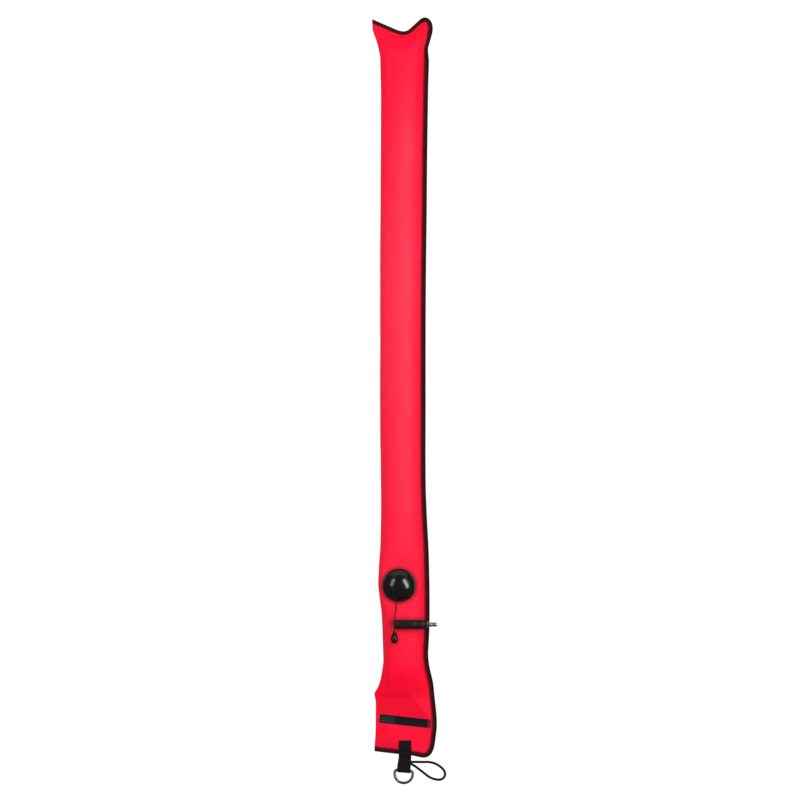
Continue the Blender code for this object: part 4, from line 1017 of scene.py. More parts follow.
def wrinkles(seed, front_side):
    d = 0.75 * field(x_mm, z_mm, 46.0, 95.0, seed) * air
    d += 0.30 * field(x_mm, z_mm, 22.0, 34.0, seed + 3.1) * air
    # Long shallow tension creases that wander across the tube.
    mask = smooth((field(x_mm, z_mm, 60.0, 140.0, seed + 7.7) + 0.12) / 0.4)
    d += 0.42 * ridges(x_mm, z_mm, 15.0, 105.0, seed + 1.3, 0.32) * mask * air
    mask = smooth((field(x_mm, z_mm, 60.0, 140.0, seed + 9.2) + 0.12) / 0.4)
    d += 0.42 * ridges(x_mm, z_mm, 14.0, 100.0, seed + 2.6, -0.28) * mask * air
    # Puckers square to the sewn edge.
    phase = margin_run / MM / 12.5 * 2 * math.pi
    phase += 3.0 * field(margin_run / MM, np.zeros_like(px), 38.0, 1.0, seed + 5.0)
    size = 0.35 + 0.75 * np.abs(field(margin_run / MM, np.zeros_like(px), 60.0, 1.0, seed + 6.0))
    m = np.maximum(margin / MM, 0.0)
    d += size * np.sin(phase) * np.exp(-m / 10.0) * smooth(m / 3.0) * (0.35 + 0.65 * air)
    # Pleats that run up from the weld into the filled part.
    reach = smooth(1 - (WELD_Y - py) / 42.0) * (py < WELD_Y)
    fade = smooth((WELD_Y - py) / 5.0) * smooth(edge_room / 9.0)
    d += 1.25 * ridges(x_mm, z_mm, 9.5, 60.0, seed + 4.4) * reach * fade
    # Pleats that fan down from the pinched top.
    top_reach = smooth(1 - (py - 34.0) / 62.0) * smooth(m / 7.0) * smooth(from_left / 9.0)
    fan = (x_mm - at(402.0, 0).x / MM) * 0.006
    d += 1.05 * ridges(x_mm + fan * (z_mm - 1500.0), z_mm, 9.0, 70.0, seed + 8.8) * top_reach
    if front_side:
        d *= clear_valve * smooth((off - 4.0) / 8.0 + 0.25)
        # Stress rays round the valve's stiff flange.
        angle = np.arctan2(z_mm - v0.z, x_mm - v0.x)
        ray = np.cos(angle * 9 + 1.1) * np.exp(-np.maximum(r - 36.0, 0) / 11.0)
        d += 0.55 * ray * smooth((r - 35.0) / 5.0) * e
    return d * MM


front_d = wrinkles(11.0, True)
back_d = wrinkles(41.0, False)

# The flat tail: both plies bend together.
sheet = np.zeros_like(px)


def ridge(a, b, rise, right_fall, left_fall):
    """A crease along a line: it falls steeply to its right and gently to its left."""
    gap, t = segment_distance(a, b)
    side = (px - a[0]) * (b[1] - a[1]) - (py - a[1]) * (b[0] - a[0])
    fall = np.where(side > 0, right_fall, left_fall)
    return rise * np.exp(-np.sqrt((gap / fall) ** 2 + 0.02)) * smooth(1.6 - 2 * np.abs(t - 0.5))


sheet += ridge((406.5, 688.0), (429.0, 716.0), 2.6, 16.0, 34.0)
sheet += ridge((386.0, 724.0), (399.0, 745.0), 1.7, 14.0, 20.0)
gap, t = segment_distance((372.0, 693.8), (388.5, 693.2))
sheet += 1.3 * np.exp(-np.sqrt((gap / 3.0) ** 2 + 0.05)) * smooth((389.5 - px) / 6.0)
gap, t = segment_distance((386.0, 703.0), (399.0, 708.5))
sheet -= 0.5 * np.exp(-((gap / 7.0) ** 2))
gap, t = segment_distance((415.5, 738.0), (427.0, 743.5))
sheet -= 0.6 * np.exp(-((gap / 6.0) ** 2))
sheet += 0.45 * field(x_mm, z_mm, 24.0, 17.0, 71.0)
label_u = (px - 403.6) * math.cos(math.radians(6.4)) + (py - 720.9) * math.sin(math.radians(6.4))
label_v = (py - 720.9) * math.cos(math.radians(6.4)) - (px - 403.6) * math.sin(math.radians(6.4))
off_label = np.maximum(np.abs(label_u - 1.6) - 26.2, np.abs(label_v) - 4.7) * U / MM
off_patch = np.maximum(np.abs(px - 404.8) - 6.3, 739.8 - py) * U / MM
keep = smooth(off_label / 6.0) * smooth(off_patch / 6.0) * smooth(margin / MM / 7.0)
sheet *= keep * smooth((py - WELD_Y + 6.0) / 9.0) * MM

# ------------------------------------------------------------------ the sleeve's mesh


def sleeve():
    bm = bmesh.new()
    layer = bm.loops.layers.uv.new("along")
    where = {}

    def add(key, p, uv):
        v = bm.verts.new(p)
        where[key] = v
        flat_uv[v] = uv
        return v

    flat_uv = {}
    for i in range(row_count):
        for j in range(COLUMNS + 1):
            x, _, z = middle[i, j]
            uv = (z, x)
            last = j == COLUMNS
            yf, yb = -front[i, j] - sheet[i, j], back[i, j] - sheet[i, j]
            if j == 0:
                v = add(("f", i, j), (x, -sheet[i, j], z), uv)
                where["b", i, j] = v
                continue
            if last:
                p = right_stations[i].point(FIN, 0.0)
                x, z = p.x, p.z
            elif i == 0:
                p = top_stations[j].point(FIN, 0.0)
                x, z = p.x, p.z
            elif i == row_count - 1:
                p = bottom_stations[j].point(FIN, 0.0)
                x, z = p.x, p.z
            if last or i in (0, row_count - 1):
                yf, yb = -PLY, PLY
            add(("f", i, j), (x, yf, z), uv)
            add(("b", i, j), (x, yb, z), uv)

    def face(keys):
        corners = []
        for k in keys:
            v = where[k]
            if v not in corners:
                corners.append(v)
        if len(corners) > 2:
            f = bm.faces.new(corners)
            for loop in f.loops:
                loop[layer].uv = flat_uv[loop.vert]

    hole = 21.6
    for i in range(row_count - 1):
        for j in range(COLUMNS):
            four = [(i, j), (i, j + 1), (i + 1, j + 1), (i + 1, j)]
            if min(r[a, b] for a, b in four) > hole:
                face([("f", a, b) for a, b in four])
            face([("b", a, b) for a, b in reversed(four)])
    # The flat margin, out to the fabric's own edge inside the tape.
    ring = (
        [(0, j) for j in range(COLUMNS + 1)]
        + [(i, COLUMNS) for i in range(1, row_count)]
        + [(row_count - 1, j) for j in range(COLUMNS - 1, -1, -1)]
    )
    for k, s in enumerate(stations):
        for side, y in (("f", PLY), ("b", -PLY)):
            for n, inwards in enumerate((9.0 * MM, 1.4 * MM)):
                p = s.point(inwards, y)
                add((side, "m", k, n), p, (p.z, p.x))
        where["f", "k", k], where["b", "k", k] = where["f", *ring[k]], where["b", *ring[k]]
    for k in range(len(stations) - 1):
        face([("f", "k", k), ("f", "m", k, 0), ("f", "m", k + 1, 0), ("f", "k", k + 1)])
        face([("f", "m", k, 0), ("f", "m", k, 1), ("f", "m", k + 1, 1), ("f", "m", k + 1, 0)])
        face([("b", "k", k), ("b", "k", k + 1), ("b", "m", k + 1, 0), ("b", "m", k, 0)])
        face([("b", "m", k, 0), ("b", "m", k + 1, 0), ("b", "m", k + 1, 1), ("b", "m", k, 1)])
        face([("f", "m", k, 1), ("b", "m", k, 1), ("b", "m", k + 1, 1), ("f", "m", k + 1, 1)])
    for k in (0, len(stations) - 1):
        face([("f", "k", k), ("f", "m", k, 0), ("b", "m", k, 0)])
        face([("f", "m", k, 0), ("f", "m", k, 1), ("b", "m", k, 1), ("b", "m", k, 0)])
    bmesh.ops.recalc_face_normals(bm, faces=bm.faces[:])
    # Wrinkles push along the skin's own direction.
    bm.normal_update()
    shifts = []
    for i in range(1, row_count - 1):
        for j in range(1, COLUMNS):
            for side, d in (("f", front_d), ("b", back_d)):
                v = where[side, i, j]
                shifts.append((v, v.normal * d[i, j]))
        v = where["f", i, 0]
        shifts.append((v, v.normal * (0.3 * (front_d[i, 1] + back_d[i, 1]))))
    for v, d in shifts:
        v.co += d
    for v in [v for v in bm.verts if not v.link_faces]:
        bm.verts.remove(v)
    mesh = bpy.data.meshes.new("sleeve_fabric")
    bm.to_mesh(mesh)
    bm.free()
    return link("sleeve_fabric", mesh, FABRIC)


fabric = sleeve()
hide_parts("bladder_shell")
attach(fabric, "float")


# ------------------------------------------------------------------ binding tape
STITCH_IN = 8.7 * MM


def slimmer(s):
    """How much less the fold covers: along the top edge and at the neck under its
    right point."""
    x, y = s.edge.x, s.edge.z
    top = smooth((at(425.0, 0.0).x - x) / (9.0 * U)) * smooth((y - at(0.0, 45.0).z) / (8.0 * U))
    neck = smooth((at(0.0, 34.0).z - y) / (6.0 * U)) * smooth((y - at(0.0, 58.0).z) / (9.0 * U))
    return float(2.0 * top + 1.8 * neck * smooth((x - at(420.0, 0.0).x) / (4.0 * U))) * MM


def tape_section(k, less=0.0):
    """The folded tape's outline at a station: (inwards, forwards)."""
    run = edge_run[k] / MM
    plump = 0.10 * noise.noise(Vector((run / 9.0, 3.0, 0.0)))
    reach = TAPE_COVER + 0.30 * MM * noise.noise(Vector((run / 14.0, 7.0, 0.0)))
    half = TAPE_HALF + plump * MM
    nose = [
        (half * (1 - math.cos(a)) * 0.85, half * math.sin(a))
        for a in (math.radians(-90 + 15 * n) for n in range(13))
    ]
    leg = []
    for a in (3.0, 4.6, 6.2, 7.4, 8.1, 8.7, 9.3, 9.9, 10.15):
        dip = 0.28 * math.exp(-(((a - 8.7) / 0.75) ** 2))
        leg.append((a * MM, half - dip * MM))
    tip = [(reach, half - 0.25 * MM), (reach, TAPE_SLOT + 0.2 * MM), (reach - 0.2 * MM, TAPE_SLOT)]
    inner = [(6.0 * MM, TAPE_SLOT), (1.3 * MM, TAPE_SLOT)]
    upper = leg + tip + inner
    lower = [(a, -b) for a, b in reversed(upper)]
    start = 3.0 * MM
    squeeze = (reach - less - start) / (reach - start)
    return [(start + (a - start) * squeeze if a > start else a, b) for a, b in nose + upper + lower]


tape_rings, tape_uvs = [], []
for k, s in enumerate(stations):
    section = tape_section(k)
    tape_rings.append([s.point(a, b) for a, b in tape_section(k, slimmer(s))])
    cross = [0.0]
    for (a0, b0), (a1, b1) in zip(section, section[1:] + section[:1]):
        cross.append(cross[-1] + math.hypot(a1 - a0, b1 - b0))
    tape_uvs.append([(edge_run[k], c) for c in cross])
tape = link(
    "edge_binding_tape",
    grid_mesh("edge_binding_tape", tape_rings, tape_uvs, close_across=True, caps=True),
    TAPE,
    50.0,
)
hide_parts("edge_binding")
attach(tape, "float")


def on_edge(run):
    """(edge point, inward, along, inset of the stitches) at a distance along the bound edge."""
    k = min(int(np.searchsorted(edge_run, run, side="right")) - 1, len(stations) - 2)
    f = (run - edge_run[k]) / (edge_run[k + 1] - edge_run[k])
    a, b = stations[k], stations[k + 1]
    less = slimmer(a) * (1 - f) + slimmer(b) * f
    start = 3.0 * MM
    inset = start + (STITCH_IN - start) * (TAPE_COVER - less - start) / (TAPE_COVER - start)
    return (
        a.edge.lerp(b.edge, f),
        a.inward.lerp(b.inward, f).normalized(),
        (b.edge + b.inward * inset - a.edge - a.inward * inset).normalized(),
        inset,
    )


for side, name in ((1, "binding_stitches_front"), (-1, "binding_stitches_back")):
    places = []
    run = 3.0 * MM
    while run < edge_run[-1] - 2 * MM:
        point, inward, along, inset = on_edge(run)
        outward = Vector((0.0, -side, 0.0))
        places.append((point + inward * inset + outward * (TAPE_HALF - 0.2 * MM), along, outward))
        run += 3.3 * MM
    row = stitches(name, places, THREAD, 0.27 * MM, 2.5 * MM)
    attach(row, "float")

# ------------------------------------------------------------------ label strip
LABEL_TILT = math.radians(6.4)
label_place = (
    Matrix.Translation(at(405.2, 721.08) + Vector((0.0, -(PLY + 0.3 * MM), 0.0)))
    @ Matrix.Rotation(math.pi / 2, 4, "X")
    @ Matrix.Rotation(-LABEL_TILT, 4, "Z")
)


def label_strip():
    """A thin strip with a raised rim and rounded corners."""
    # The strip is longer than the part's own; its long end carries the painted shade.
    w, d = 105.6 * MM, 17.6 * MM
    steps = [
        (0.0, 0.0), (0.0, 0.55 * MM), (0.25 * MM, 0.78 * MM), (1.0 * MM, 0.78 * MM),
        (1.25 * MM, 0.62 * MM), (1.5 * MM, 0.52 * MM),
    ]  # fmt: skip

    def outline(inset):
        r = max(2.0 * MM - inset, 0.4 * MM)
        pts = []
        for cx, cy, start in (
            (w / 2 - inset - r, d / 2 - inset - r, 0),
            (-w / 2 + inset + r, d / 2 - inset - r, 90),
            (-w / 2 + inset + r, -d / 2 + inset + r, 180),
            (w / 2 - inset - r, -d / 2 + inset + r, 270),
        ):
            for k in range(7):
                a = math.radians(start + 15 * k)
                pts.append((cx + r * math.cos(a), cy + r * math.sin(a)))
        return pts

    rings = [[Vector((x, y, h)) for x, y in outline(i)] for i, h in steps]
    uvs = [[(p.x + w / 2, p.y + d / 2) for p in ring + ring[:1]] for ring in rings]
    placed = [[label_place @ p for p in ring] for ring in rings]
    mesh = grid_mesh("blank_label_strip", placed, uvs, close_across=True, caps=True)
    return link("blank_label_strip", mesh, LABEL, 30.0)


label = label_strip()
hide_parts("label_strip")
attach(label, "float")
places = []
for sx, sy, n in ((1, 0, 32), (0, 1, 5)):
    for sign in (-1, 1):
        for k in range(n):
            f = (k + 0.5) / n - 0.5
            if sx:
                p = Vector((f * 101.2 * MM, sign * 7.1 * MM, 0.5 * MM))
                along = Vector((1, 0, 0))
            else:
                p = Vector((sign * 51.1 * MM, f * 14.2 * MM, 0.5 * MM))
                along = Vector((0, 1, 0))
            turn = label_place.to_3x3()
            places.append((label_place @ p, turn @ along, turn @ Vector((0, 0, 1))))
label_sewing = stitches("label_stitches", places, THREAD, 0.22 * MM, 2.2 * MM)
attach(label_sewing, "float")

# ------------------------------------------------------------------ webbing tab
STRAP_LEFT, STRAP_RIGHT = -9.9, 16.0
FOLD_Z = RING_BAR_Z / MM + 0.35
FOLD_R = 4.3
# Middle line of the webbing, (forward, up) in mm: down the front from the patch's cut
# end, round the ring's bar, and up the back.
half_route = [
    (1.75, 84.9), (1.75, 78.0), (1.75, 73.0), (1.95, 71.0), (2.65, 69.2), (2.98, 67.6),
    (2.98, 62.0), (2.96, 58.5), (2.75, 56.2), (2.1, 53.8), (1.25, 51.9), (0.86, 50.4),
    (0.80, 49.2), (0.95, 47.6), (1.75, 45.4), (2.7, 43.4), (3.25, 41.2), (3.35, 38.6),
    (3.45, 33.0), (3.8, 28.0), (FOLD_R, FOLD_Z + 0.5),
]  # fmt: skip
round_bar = [
    (FOLD_R * math.cos(a), FOLD_Z - FOLD_R * math.sin(a))
    for a in (math.radians(15 * k) for k in range(1, 12))
]
route2 = half_route + round_bar + [(-h, z) for h, z in reversed(half_route)]
strap_line = spaced(through([Vector((0.0, -h * MM, z * MM)) for h, z in route2], 6), 1.0 * MM)


def strap_edges(z):
    """Left and right of the webbing at a height: it drifts left below the hem."""
    f = min(max((54.0 - z / MM) / 28.0, 0.0), 1.0)
    f = f * f * (3 - 2 * f)
    return (
        (STRAP_LEFT + (-13.2 - STRAP_LEFT) * f) * MM,
        (STRAP_RIGHT + (14.5 - STRAP_RIGHT) * f) * MM,
    )


TAB_X = 0.45 * MM
RING_X = 1.05 * MM
LEAN = 0.085


def webbing():
    half_thick = 0.74 * MM
    lips = [math.radians(-90 + 30 * k) for k in range(7)]
    ribs = 12
    rings, uvs, run = [], [], 0.0
    last = len(strap_line) - 1
    for i, p in enumerate(strap_line):
        if i:
            run += (p - strap_line[i - 1]).length
        t = (strap_line[min(i + 1, last)] - strap_line[max(i - 1, 0)]).normalized()
        out = Vector((0.0, -t.z, t.y)) * -1.0
        left, right = strap_edges(p.z)
        wob = 0.12 * MM * noise.noise(Vector((run * 120.0, 5.0, 1.0)))
        left, right = left + wob, right + wob
        ring, uv = [], []
        for a in lips:  # right selvage
            ring.append((right - half_thick + half_thick * math.cos(a), half_thick * math.sin(a)))
        for k in range(1, ribs):
            f = k / ribs
            ring.append((right - half_thick + (left - right + 2 * half_thick) * f, half_thick))
        for a in lips:
            ring.append((left + half_thick - half_thick * math.cos(a), -half_thick * math.sin(a)))
        for k in range(1, ribs):
            f = k / ribs
            ring.append((left + half_thick + (right - left - 2 * half_thick) * f, -half_thick))
        # The tab hangs a little askew: its right side reaches lower.
        drop = LEAN * float(smooth((50.0 * MM - p.z) / (16.0 * MM)))
        rings.append([Vector((x, p.y, p.z - (x - TAB_X) * drop)) + out * h for x, h in ring])
        uv = [(run, x - left) for x, _ in ring]
        uvs.append(uv + [uv[0]])
    mesh = grid_mesh("tab_webbing", rings, uvs, close_across=True, caps=True)
    return link("tab_webbing", mesh, WEBBING, 50.0)


strap = webbing()
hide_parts("strap_front_patch", "strap_back_patch", "strap_loop")
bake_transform(strap)

# Box stitching on both patches, and a bar tack under the hem.
for side, name in ((1, "patch_stitches_front"), (-1, "patch_stitches_back")):
    outward = Vector((0.0, -side, 0.0))
    x0, x1, z0, z1 = STRAP_LEFT + 2.4, STRAP_RIGHT - 2.4, 72.4, 82.6
    face_h = 2.5 * MM
    corners = [(x0, z0), (x1, z0), (x1, z1), (x0, z1), (x0, z0), (x1, z1)]
    corners2 = [(x0, z1), (x1, z0)]
    places = []
    for line in (corners, corners2):
        for (xa, za), (xb, zb) in zip(line, line[1:]):
            length = math.hypot(xb - xa, zb - za)
            n = max(2, round(length / 2.7))
            direction = Vector((xb - xa, 0.0, zb - za)).normalized()
            for k in range(n):
                f = (k + 0.5) / n
                p = Vector(((xa + (xb - xa) * f) * MM, -side * face_h, (za + (zb - za) * f) * MM))
                places.append((p, direction, outward))
    box = stitches(name, places, THREAD, 0.3 * MM, 2.1 * MM)
    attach(box, "float")
for side, name in ((1, "tab_tack_front"), (-1, "tab_tack_back")):
    outward = Vector((0.0, -side, 0.0))
    places = []
    for k in range(9):
        x = (-8.2 + 21.6 * (k + 0.5) / 9) * MM
        places.append((Vector((x, -side * 1.62 * MM, 48.0 * MM)), Vector((1.0, 0.0, 0.0)), outward))
    tack = stitches(name, places, THREAD, 0.3 * MM, 2.0 * MM)
    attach(tack, "tab")

# ------------------------------------------------------------------ line ring


def ring_route():
    half, corner, drop = 18.45, 4.5, 7.1
    points = [(x, 0.0) for x in np.linspace(-half + corner, half - corner, 15)[:-1]]
    for k in range(0, 12):
        a = math.radians(90 - 7.5 * k)
        points.append((half - corner + corner * math.cos(a), -corner + corner * math.sin(a)))
    for k in range(0, 61):
        a = math.radians(-3 * k)
        points.append((half * math.cos(a), -drop + half * math.sin(a)))
    for k in range(1, 12):
        a = math.radians(180 - 7.5 * k)
        points.append((-half + corner + corner * math.cos(a), -corner + corner * math.sin(a)))
    # The bar lies nearly level inside the fold; the rest leans with the webbing.
    out = []
    for x, z in points:
        level = 0.60 + 0.40 * float(smooth((abs(x) - 7.5) / 6.0)) if z > -0.01 else 1.0
        c, s = math.cos(LEAN), math.sin(LEAN) * level
        out.append(Vector(((x * c + z * s) * MM + RING_X, 0.0, RING_BAR_Z + (z * c - x * s) * MM)))
    return out


ring = tube("line_ring_wire", ring_route(), RING_WIRE_R, STEEL, 28, closed=True)
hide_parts("d_ring")
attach(ring, "ring")

# ------------------------------------------------------------------ dump valve cap
DOME_R, DOME_CENTRE, DOME_WALL = 39.6, 5.4, 1.8
profile = [(0.0, DOME_CENTRE + DOME_R)]
for k in range(1, 25):
    a = math.radians(51.0 * k / 24)
    lift = -0.35 * math.exp(-(((DOME_R * math.sin(a) - 27.6) / 0.55) ** 2))
    profile.append(((DOME_R + lift) * math.sin(a), DOME_CENTRE + (DOME_R + lift) * math.cos(a)))
profile += [
    (31.0, 29.85), (31.2, 29.66), (31.55, 29.58), (32.4, 29.50), (33.15, 29.42), (33.55, 29.26),
    (33.82, 28.92), (33.82, 28.55), (33.45, 28.27), (33.05, 28.1), (33.0, 27.8), (33.0, 22.0), (32.9, 21.65), (32.6, 21.5),
    (31.7, 21.5), (31.45, 21.7), (31.4, 22.0), (31.4, 27.6),
]  # fmt: skip
for k in range(12):
    a = math.radians(52.0 * (12 - k) / 12)
    inner = DOME_R - DOME_WALL
    profile.append((inner * math.sin(a), DOME_CENTRE + inner * math.cos(a)))
profile.append((0.0, DOME_CENTRE + DOME_R - DOME_WALL))
CAP_PLACE = Matrix.Translation((0.0, 0.0, 0.6 * MM)) @ valve_place
cap = lathe("valve_cap_dome", profile, CAP_PLACE, DOME, 120, smooth_deg=40.0)


def boxes(sizes):
    """Blocks in the valve's own frame, each (low, high, turn), as one mesh."""
    bm = bmesh.new()
    for low, high, turn in sizes:
        made = bmesh.ops.create_cube(bm, size=1.0)
        for v in made["verts"]:
            v.co = Vector((low[k] + (high[k] - low[k]) * (v.co[k] + 0.5)) * MM for k in range(3))
            v.co = CAP_PLACE @ (Matrix.Rotation(turn, 3, "Z") @ v.co)
    bmesh.ops.recalc_face_normals(bm, faces=bm.faces[:])
    mesh = bpy.data.meshes.new("boxes")
    bm.to_mesh(mesh)
    bm.free()
    return mesh


def cut(obj, mesh):
    """Takes another mesh's volume out of obj and keeps the result."""
    other = bpy.data.objects.new("cut_guide", mesh)
    bpy.context.scene.collection.objects.link(other)
    m = obj.modifiers.new("cut", "BOOLEAN")
    m.operation, m.solver, m.object = "DIFFERENCE", "EXACT", other
    bpy.context.view_layer.update()
    done = bpy.data.meshes.new_from_object(
        obj.evaluated_get(bpy.context.evaluated_depsgraph_get())
    )
    obj.modifiers.clear()
    mats = [s.material for s in obj.material_slots]
    obj.data = done
    if not done.materials:
        for mat in mats:
            done.materials.append(mat)
    bpy.data.objects.remove(other)
    done.shade_smooth()
    done.set_sharp_from_angle(angle=math.radians(35.0))


air_slots = [((29.5, -3.2, 25.2), (36.0, 3.2, 27.0), math.radians(36 * k - 72)) for k in range(10)]
cut(cap, boxes(air_slots))
CORD_X = (396.35 - VALVE_X) * U / MM
cut(cap, boxes([((CORD_X - 2.4, -36.0, 24.95), (CORD_X + 2.4, -29.0, 28.1), 0.0)]))
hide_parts("valve_cap")
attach(cap, "float")

# ------------------------------------------------------------------ inflator
inflator_place = Matrix.Translation(
    Vector((0.0, -INFLATOR_AXIS, at(0, INFLATOR_Y - 0.32).z))
) @ Matrix.Rotation(math.pi / 2, 4, "Y")
CHECK_PLACE = Matrix.Translation(
    Vector((0.0, -INFLATOR_AXIS, at(0, INFLATOR_Y).z))
) @ Matrix.Rotation(math.pi / 2, 4, "Y")
HOSE_R, HOSE_BORE, HOSE_LEFT, HOSE_RIGHT = 9.6, 6.3, -17.6, 47.9
profile = [(0.0, HOSE_LEFT - 0.0)]
for k in range(0, 9):
    a = math.radians(90 * k / 8)
    profile.append((HOSE_R - 2.4 + 2.4 * math.sin(a), HOSE_LEFT + 2.4 - 2.4 * math.cos(a)))
body_steps = [
    (HOSE_R, -13.0), (HOSE_R, -8.0), (HOSE_R - 0.03, 2.0), (HOSE_R - 0.06, 12.0),
    (HOSE_R - 0.05, 20.0), (HOSE_R, 24.5), (HOSE_R - 0.35, 25.1), (HOSE_R - 0.4, 25.6),
    (HOSE_R - 0.35, 26.1), (HOSE_R, 26.7), (HOSE_R, 40.2), (HOSE_R - 0.35, 40.8),
    (HOSE_R - 0.4, 41.3), (HOSE_R - 0.35, 41.8), (HOSE_R, 42.4), (HOSE_R, HOSE_RIGHT - 1.0),
    (HOSE_R - 0.15, HOSE_RIGHT - 0.4), (HOSE_R - 0.6, HOSE_RIGHT - 0.05),
    (HOSE_R - 1.0, HOSE_RIGHT), (HOSE_BORE, HOSE_RIGHT), (HOSE_BORE, HOSE_LEFT + 4.4),
    (HOSE_BORE - 1.6, HOSE_LEFT + 2.8), (0.0, HOSE_LEFT + 2.8),
]  # fmt: skip
barrel = lathe("inflator_barrel", profile + body_steps, inflator_place, RUBBER, 80, smooth_deg=40.0)
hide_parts("inflator_hose")
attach(barrel, "float")

port_place = Matrix.Translation(at(PORT_X, INFLATOR_Y)) @ Matrix.Rotation(math.pi / 2, 4, "X")
boss = lathe(
    "barrel_port_boss",
    [(5.0, 25.9), (6.6, 25.9), (7.2, 26.3), (7.2, 29.4), (5.0, 29.4)],
    port_place, RUBBER, 48, ring=True,
)  # fmt: skip
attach(boss, "float")


def nipple():
    """The turned part: the stepped nose with its groove; the hexagon is made on its own."""
    place = inflator_place
    turned_part = [
        (1.8, 68.35), (2.1, 68.7), (3.0, 68.7), (3.35, 68.45), (3.75, 67.0), (4.2, 64.9),
        (4.3, 64.4), (4.3, 61.4), (4.2, 61.2), (3.7, 60.9), (3.6, 60.7), (3.6, 58.9),
        (3.7, 58.7), (4.2, 58.4), (4.3, 58.2), (4.3, 54.4), (4.5, 53.7), (5.0, 53.2),
        (5.4, 53.05), (5.4, 52.0), (5.4, 49.0), (3.95, 49.0), (3.9, 48.2), (3.9, 39.6),
        (1.8, 39.6),
    ]  # fmt: skip
    return lathe("inflator_nipple_turned", turned_part, place, PLATED, 72, ring=True, smooth_deg=28.0)


nose = nipple()
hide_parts("inflator_nipple")
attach(nose, "float")


def hexagon_nut():
    """A hexagon bar section, its corners turned down at both faces."""
    flats, low, high = 6.5, 48.2, 53.1
    corner = flats / math.cos(math.radians(30))
    rings, uvs = [], []
    n = 72
    for h, turned_r in (
        (low, flats * 0.93), (low, flats + 0.15), (low + 0.45, corner), (high - 0.45, corner),
        (high, flats + 0.15), (high, flats * 0.85), (high, 4.2),
    ):  # fmt: skip
        ring = []
        for k in range(n):
            a = 2 * math.pi * k / n
            local = (a + math.radians(30)) % math.radians(60) - math.radians(30)
            ring.append(min(flats / math.cos(local), turned_r))
        rings.append(
            [
                inflator_place
                @ Vector((rr * math.cos(2 * math.pi * k / n) * MM, rr * math.sin(2 * math.pi * k / n) * MM, h * MM))
                for k, rr in enumerate(ring)
            ]
        )
        uvs.append([(h * MM, k / n * 0.04) for k in range(n + 1)])
    mesh = grid_mesh("nipple_hexagon", rings, uvs, close_across=True, caps=False)
    return link("nipple_hexagon", mesh, PLATED, 25.0)


hexagon = hexagon_nut()
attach(hexagon, "float")

# ------------------------------------------------------------------ inner pieces


def spring(name, radius, wire, start, end, turns, place):
    """A compression spring whose end turns lie flat, ground ends against its seats."""
    count = round(turns * 20)
    points = []
    for i in range(count + 1):
        f = i / count
        angle = 2 * math.pi * turns * f
        lift = min(max((f * turns - 0.7) / (turns - 1.4), 0.0), 1.0)
        points.append(
            place
            @ Vector(
                (
                    radius * math.cos(angle) * MM,
                    radius * math.sin(angle) * MM,
                    (start + wire + (end - start - 2 * wire) * lift) * MM,
                )
            )
        )
    return tube(name, points, wire * MM, WIRE, 10)


valve_coil = spring("valve_spring_coil", 7.2, 0.5, 28.0, 41.8, 4.0, valve_place)
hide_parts("valve_spring")
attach(valve_coil, "float")
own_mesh(valve_coil)
check_coil = spring("check_spring_coil", 2.2, 0.28, 31.2, 36.2, 4.0, CHECK_PLACE)
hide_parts("check_spring")
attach(check_coil, "float")
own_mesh(check_coil)

for node, mat in {
    "bungee_ferrule": CRIMP,
    "valve_inner_flange": FILM,
    "valve_gasket": SEAL,
    "valve_seat": NYLON,
    "valve_disc": NYLON,
    "valve_disc_seal": SEAL,
    "cord_knot": KNOT,
    "inflator_flange": FILM,
    "inflator_body": BRASS,
    "nipple_o_ring": SEAL,
    "check_poppet": BRASS,
    "poppet_seal": SEAL,
    "spring_retainer": BRASS,
}.items():
    obj = nodes[node]
    obj.data.materials.clear()
    obj.data.materials.append(mat)

# ------------------------------------------------------------------ stage and light


def stage_mesh():
    """A pale floor that sweeps up into a backdrop behind the buoy."""
    floor_z, back_y, bend = -0.12, 4.0, 1.6
    profile = [(-14.0, floor_z), (back_y - bend, floor_z)]
    for k in range(1, 17):
        a = math.radians(90 * k / 16)
        profile.append((back_y - bend + bend * math.sin(a), floor_z + bend - bend * math.cos(a)))
    profile.append((back_y, 9.0))
    rings = [[Vector((x, y, z)) for x in (-12.0, 12.0)] for y, z in profile]
    uvs = [[(y, x) for x in (-12.0, 12.0)] for y, z in profile]
    return grid_mesh("studio_sweep", rings, uvs)


def sweep_finish():
    f = Finish("studio_paper", (0.55, 0.55, 0.55), 0.9, 0.0, 0.2)
    # The paper glows only behind the buoy, as if lit from its far side.
    split = f.node("ShaderNodeSeparateXYZ")
    f.wire(f.metres(), split.inputs[0])
    rear = f.remap(split.outputs[1], -0.4, 0.9)
    paper = f.mix(f.remap(f.noise(0.8, 3.0), 0.3, 0.7), (0.53, 0.53, 0.53), (0.57, 0.57, 0.57))
    f.colour(f.mix(rear, paper, (0.02, 0.02, 0.02)))
    f.bump(f.noise(60.0, 3.0), 0.2 * MM, 0.2)
    f.set("Emission Color", (1.0, 1.0, 1.0, 1.0))
    f.wire(rear, f.shader.inputs["Emission Strength"])
    return f.material


sweep = link("studio_sweep", stage_mesh(), sweep_finish())


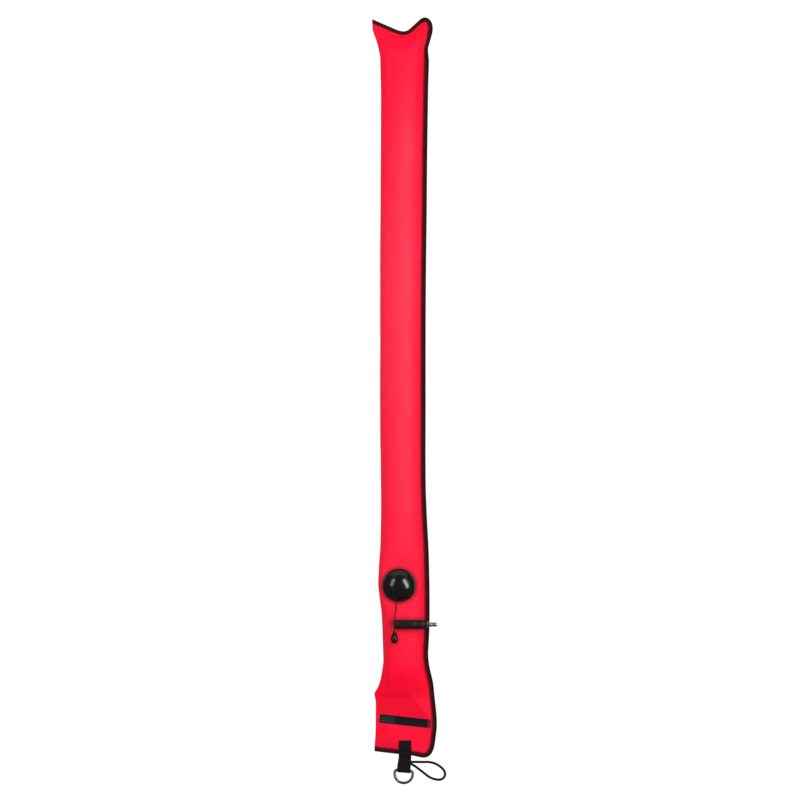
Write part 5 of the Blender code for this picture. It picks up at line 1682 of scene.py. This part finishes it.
def paper_finish():
    f = Finish("pale_floor_paper", (0.05, 0.05, 0.05), 0.9, 0.0, 0.1)
    f.colour(f.mix(f.remap(f.noise(0.8, 3.0), 0.3, 0.7), (0.045, 0.045, 0.045), (0.055, 0.055, 0.055)))
    f.bump(f.noise(60.0, 3.0), 0.2 * MM, 0.2)
    split = f.node("ShaderNodeSeparateXYZ")
    f.wire(f.metres(), split.inputs[0])
    x2 = f.calc("POWER", f.calc("ABSOLUTE", split.outputs[0]), 2.0)
    away = f.calc("SQRT", f.calc("ADD", x2, f.calc("POWER", f.calc("ABSOLUTE", split.outputs[1]), 2.0)))
    f.set("Emission Color", (1.0, 1.0, 1.0, 1.0))
    # Painted shadow: the floor glows a little less close under the buoy.
    f.wire(f.remap(away, 0.10, 1.00, 0.86, 1.0), f.shader.inputs["Emission Strength"])
    return f.material


# A round white room for every viewing side: it is seen, and gives no light of its own.
room_profile = [(0.0, -119.0), (500.0, -119.0), (1500.0, -119.0), (13500.0, -119.0)]
for k in range(1, 13):
    a = math.radians(90 * k / 12)
    room_profile.append((13500.0 + 2000.0 * math.sin(a), -119.0 + 2000.0 * (1 - math.cos(a))))
room_profile.append((15500.0, 14000.0))
room = lathe("studio_room", room_profile, Matrix.Identity(4), paper_finish(), 96)
room.visible_diffuse = room.visible_glossy = room.visible_transmission = False
room.visible_shadow = False

world = bpy.data.worlds.new("studio")
bpy.context.scene.world = world
world.use_nodes = True
world.node_tree.nodes["Background"].inputs["Color"].default_value = (1.0, 1.0, 1.0, 1.0)
world.node_tree.nodes["Background"].inputs["Strength"].default_value = 0.10


def softbox(name, azimuth, elevation, distance, width, tall, radiance, target, lean=0.0):
    """A soft panel that faces the buoy, its top leaning sideways by lean degrees."""
    data = bpy.data.lights.new(name, "AREA")
    data.shape = "RECTANGLE"
    data.size, data.size_y = width, tall
    data.energy = radiance * math.pi * width * tall
    obj = bpy.data.objects.new(name, data)
    bpy.context.scene.collection.objects.link(obj)
    a, e = math.radians(azimuth), math.radians(elevation)
    way = Vector((math.sin(a) * math.cos(e), -math.cos(a) * math.cos(e), math.sin(e)))
    obj.location = target + way * distance
    turn = (-way).to_track_quat("-Z", "Y").to_matrix().to_4x4()
    obj.rotation_euler = (turn @ Matrix.Rotation(math.radians(lean), 4, "Z")).to_euler()
    return obj


valve_at = at(VALVE_X, VALVE_Y)
softbox("softbox_right", 43.0, 9.5, 3.2, 0.95, 3.0, 6.2, valve_at, 24.0)
softbox("softbox_left", -41.0, 16.0, 3.2, 0.85, 2.4, 3.0, valve_at, -17.0)
above = softbox("overhead_panel", 0.0, 76.0, 3.2, 5.0, 1.5, 0.42, valve_at)
above.data.color = (1.0, 0.90, 0.82)
key = softbox("front_fill", 2.0, 14.0, 2.2, 2.6, 2.6, 1.64, at(399.0, 260.0))
key.visible_glossy = False
sweep.visible_glossy = sweep.visible_camera = False
for light in [o for o in bpy.context.scene.objects if o.type == "LIGHT"]:
    light.visible_camera = False
bpy.context.scene.view_settings.view_transform = "Standard"
bpy.context.scene.view_settings.look = "None"
bpy.context.scene.view_settings.exposure = 0.0
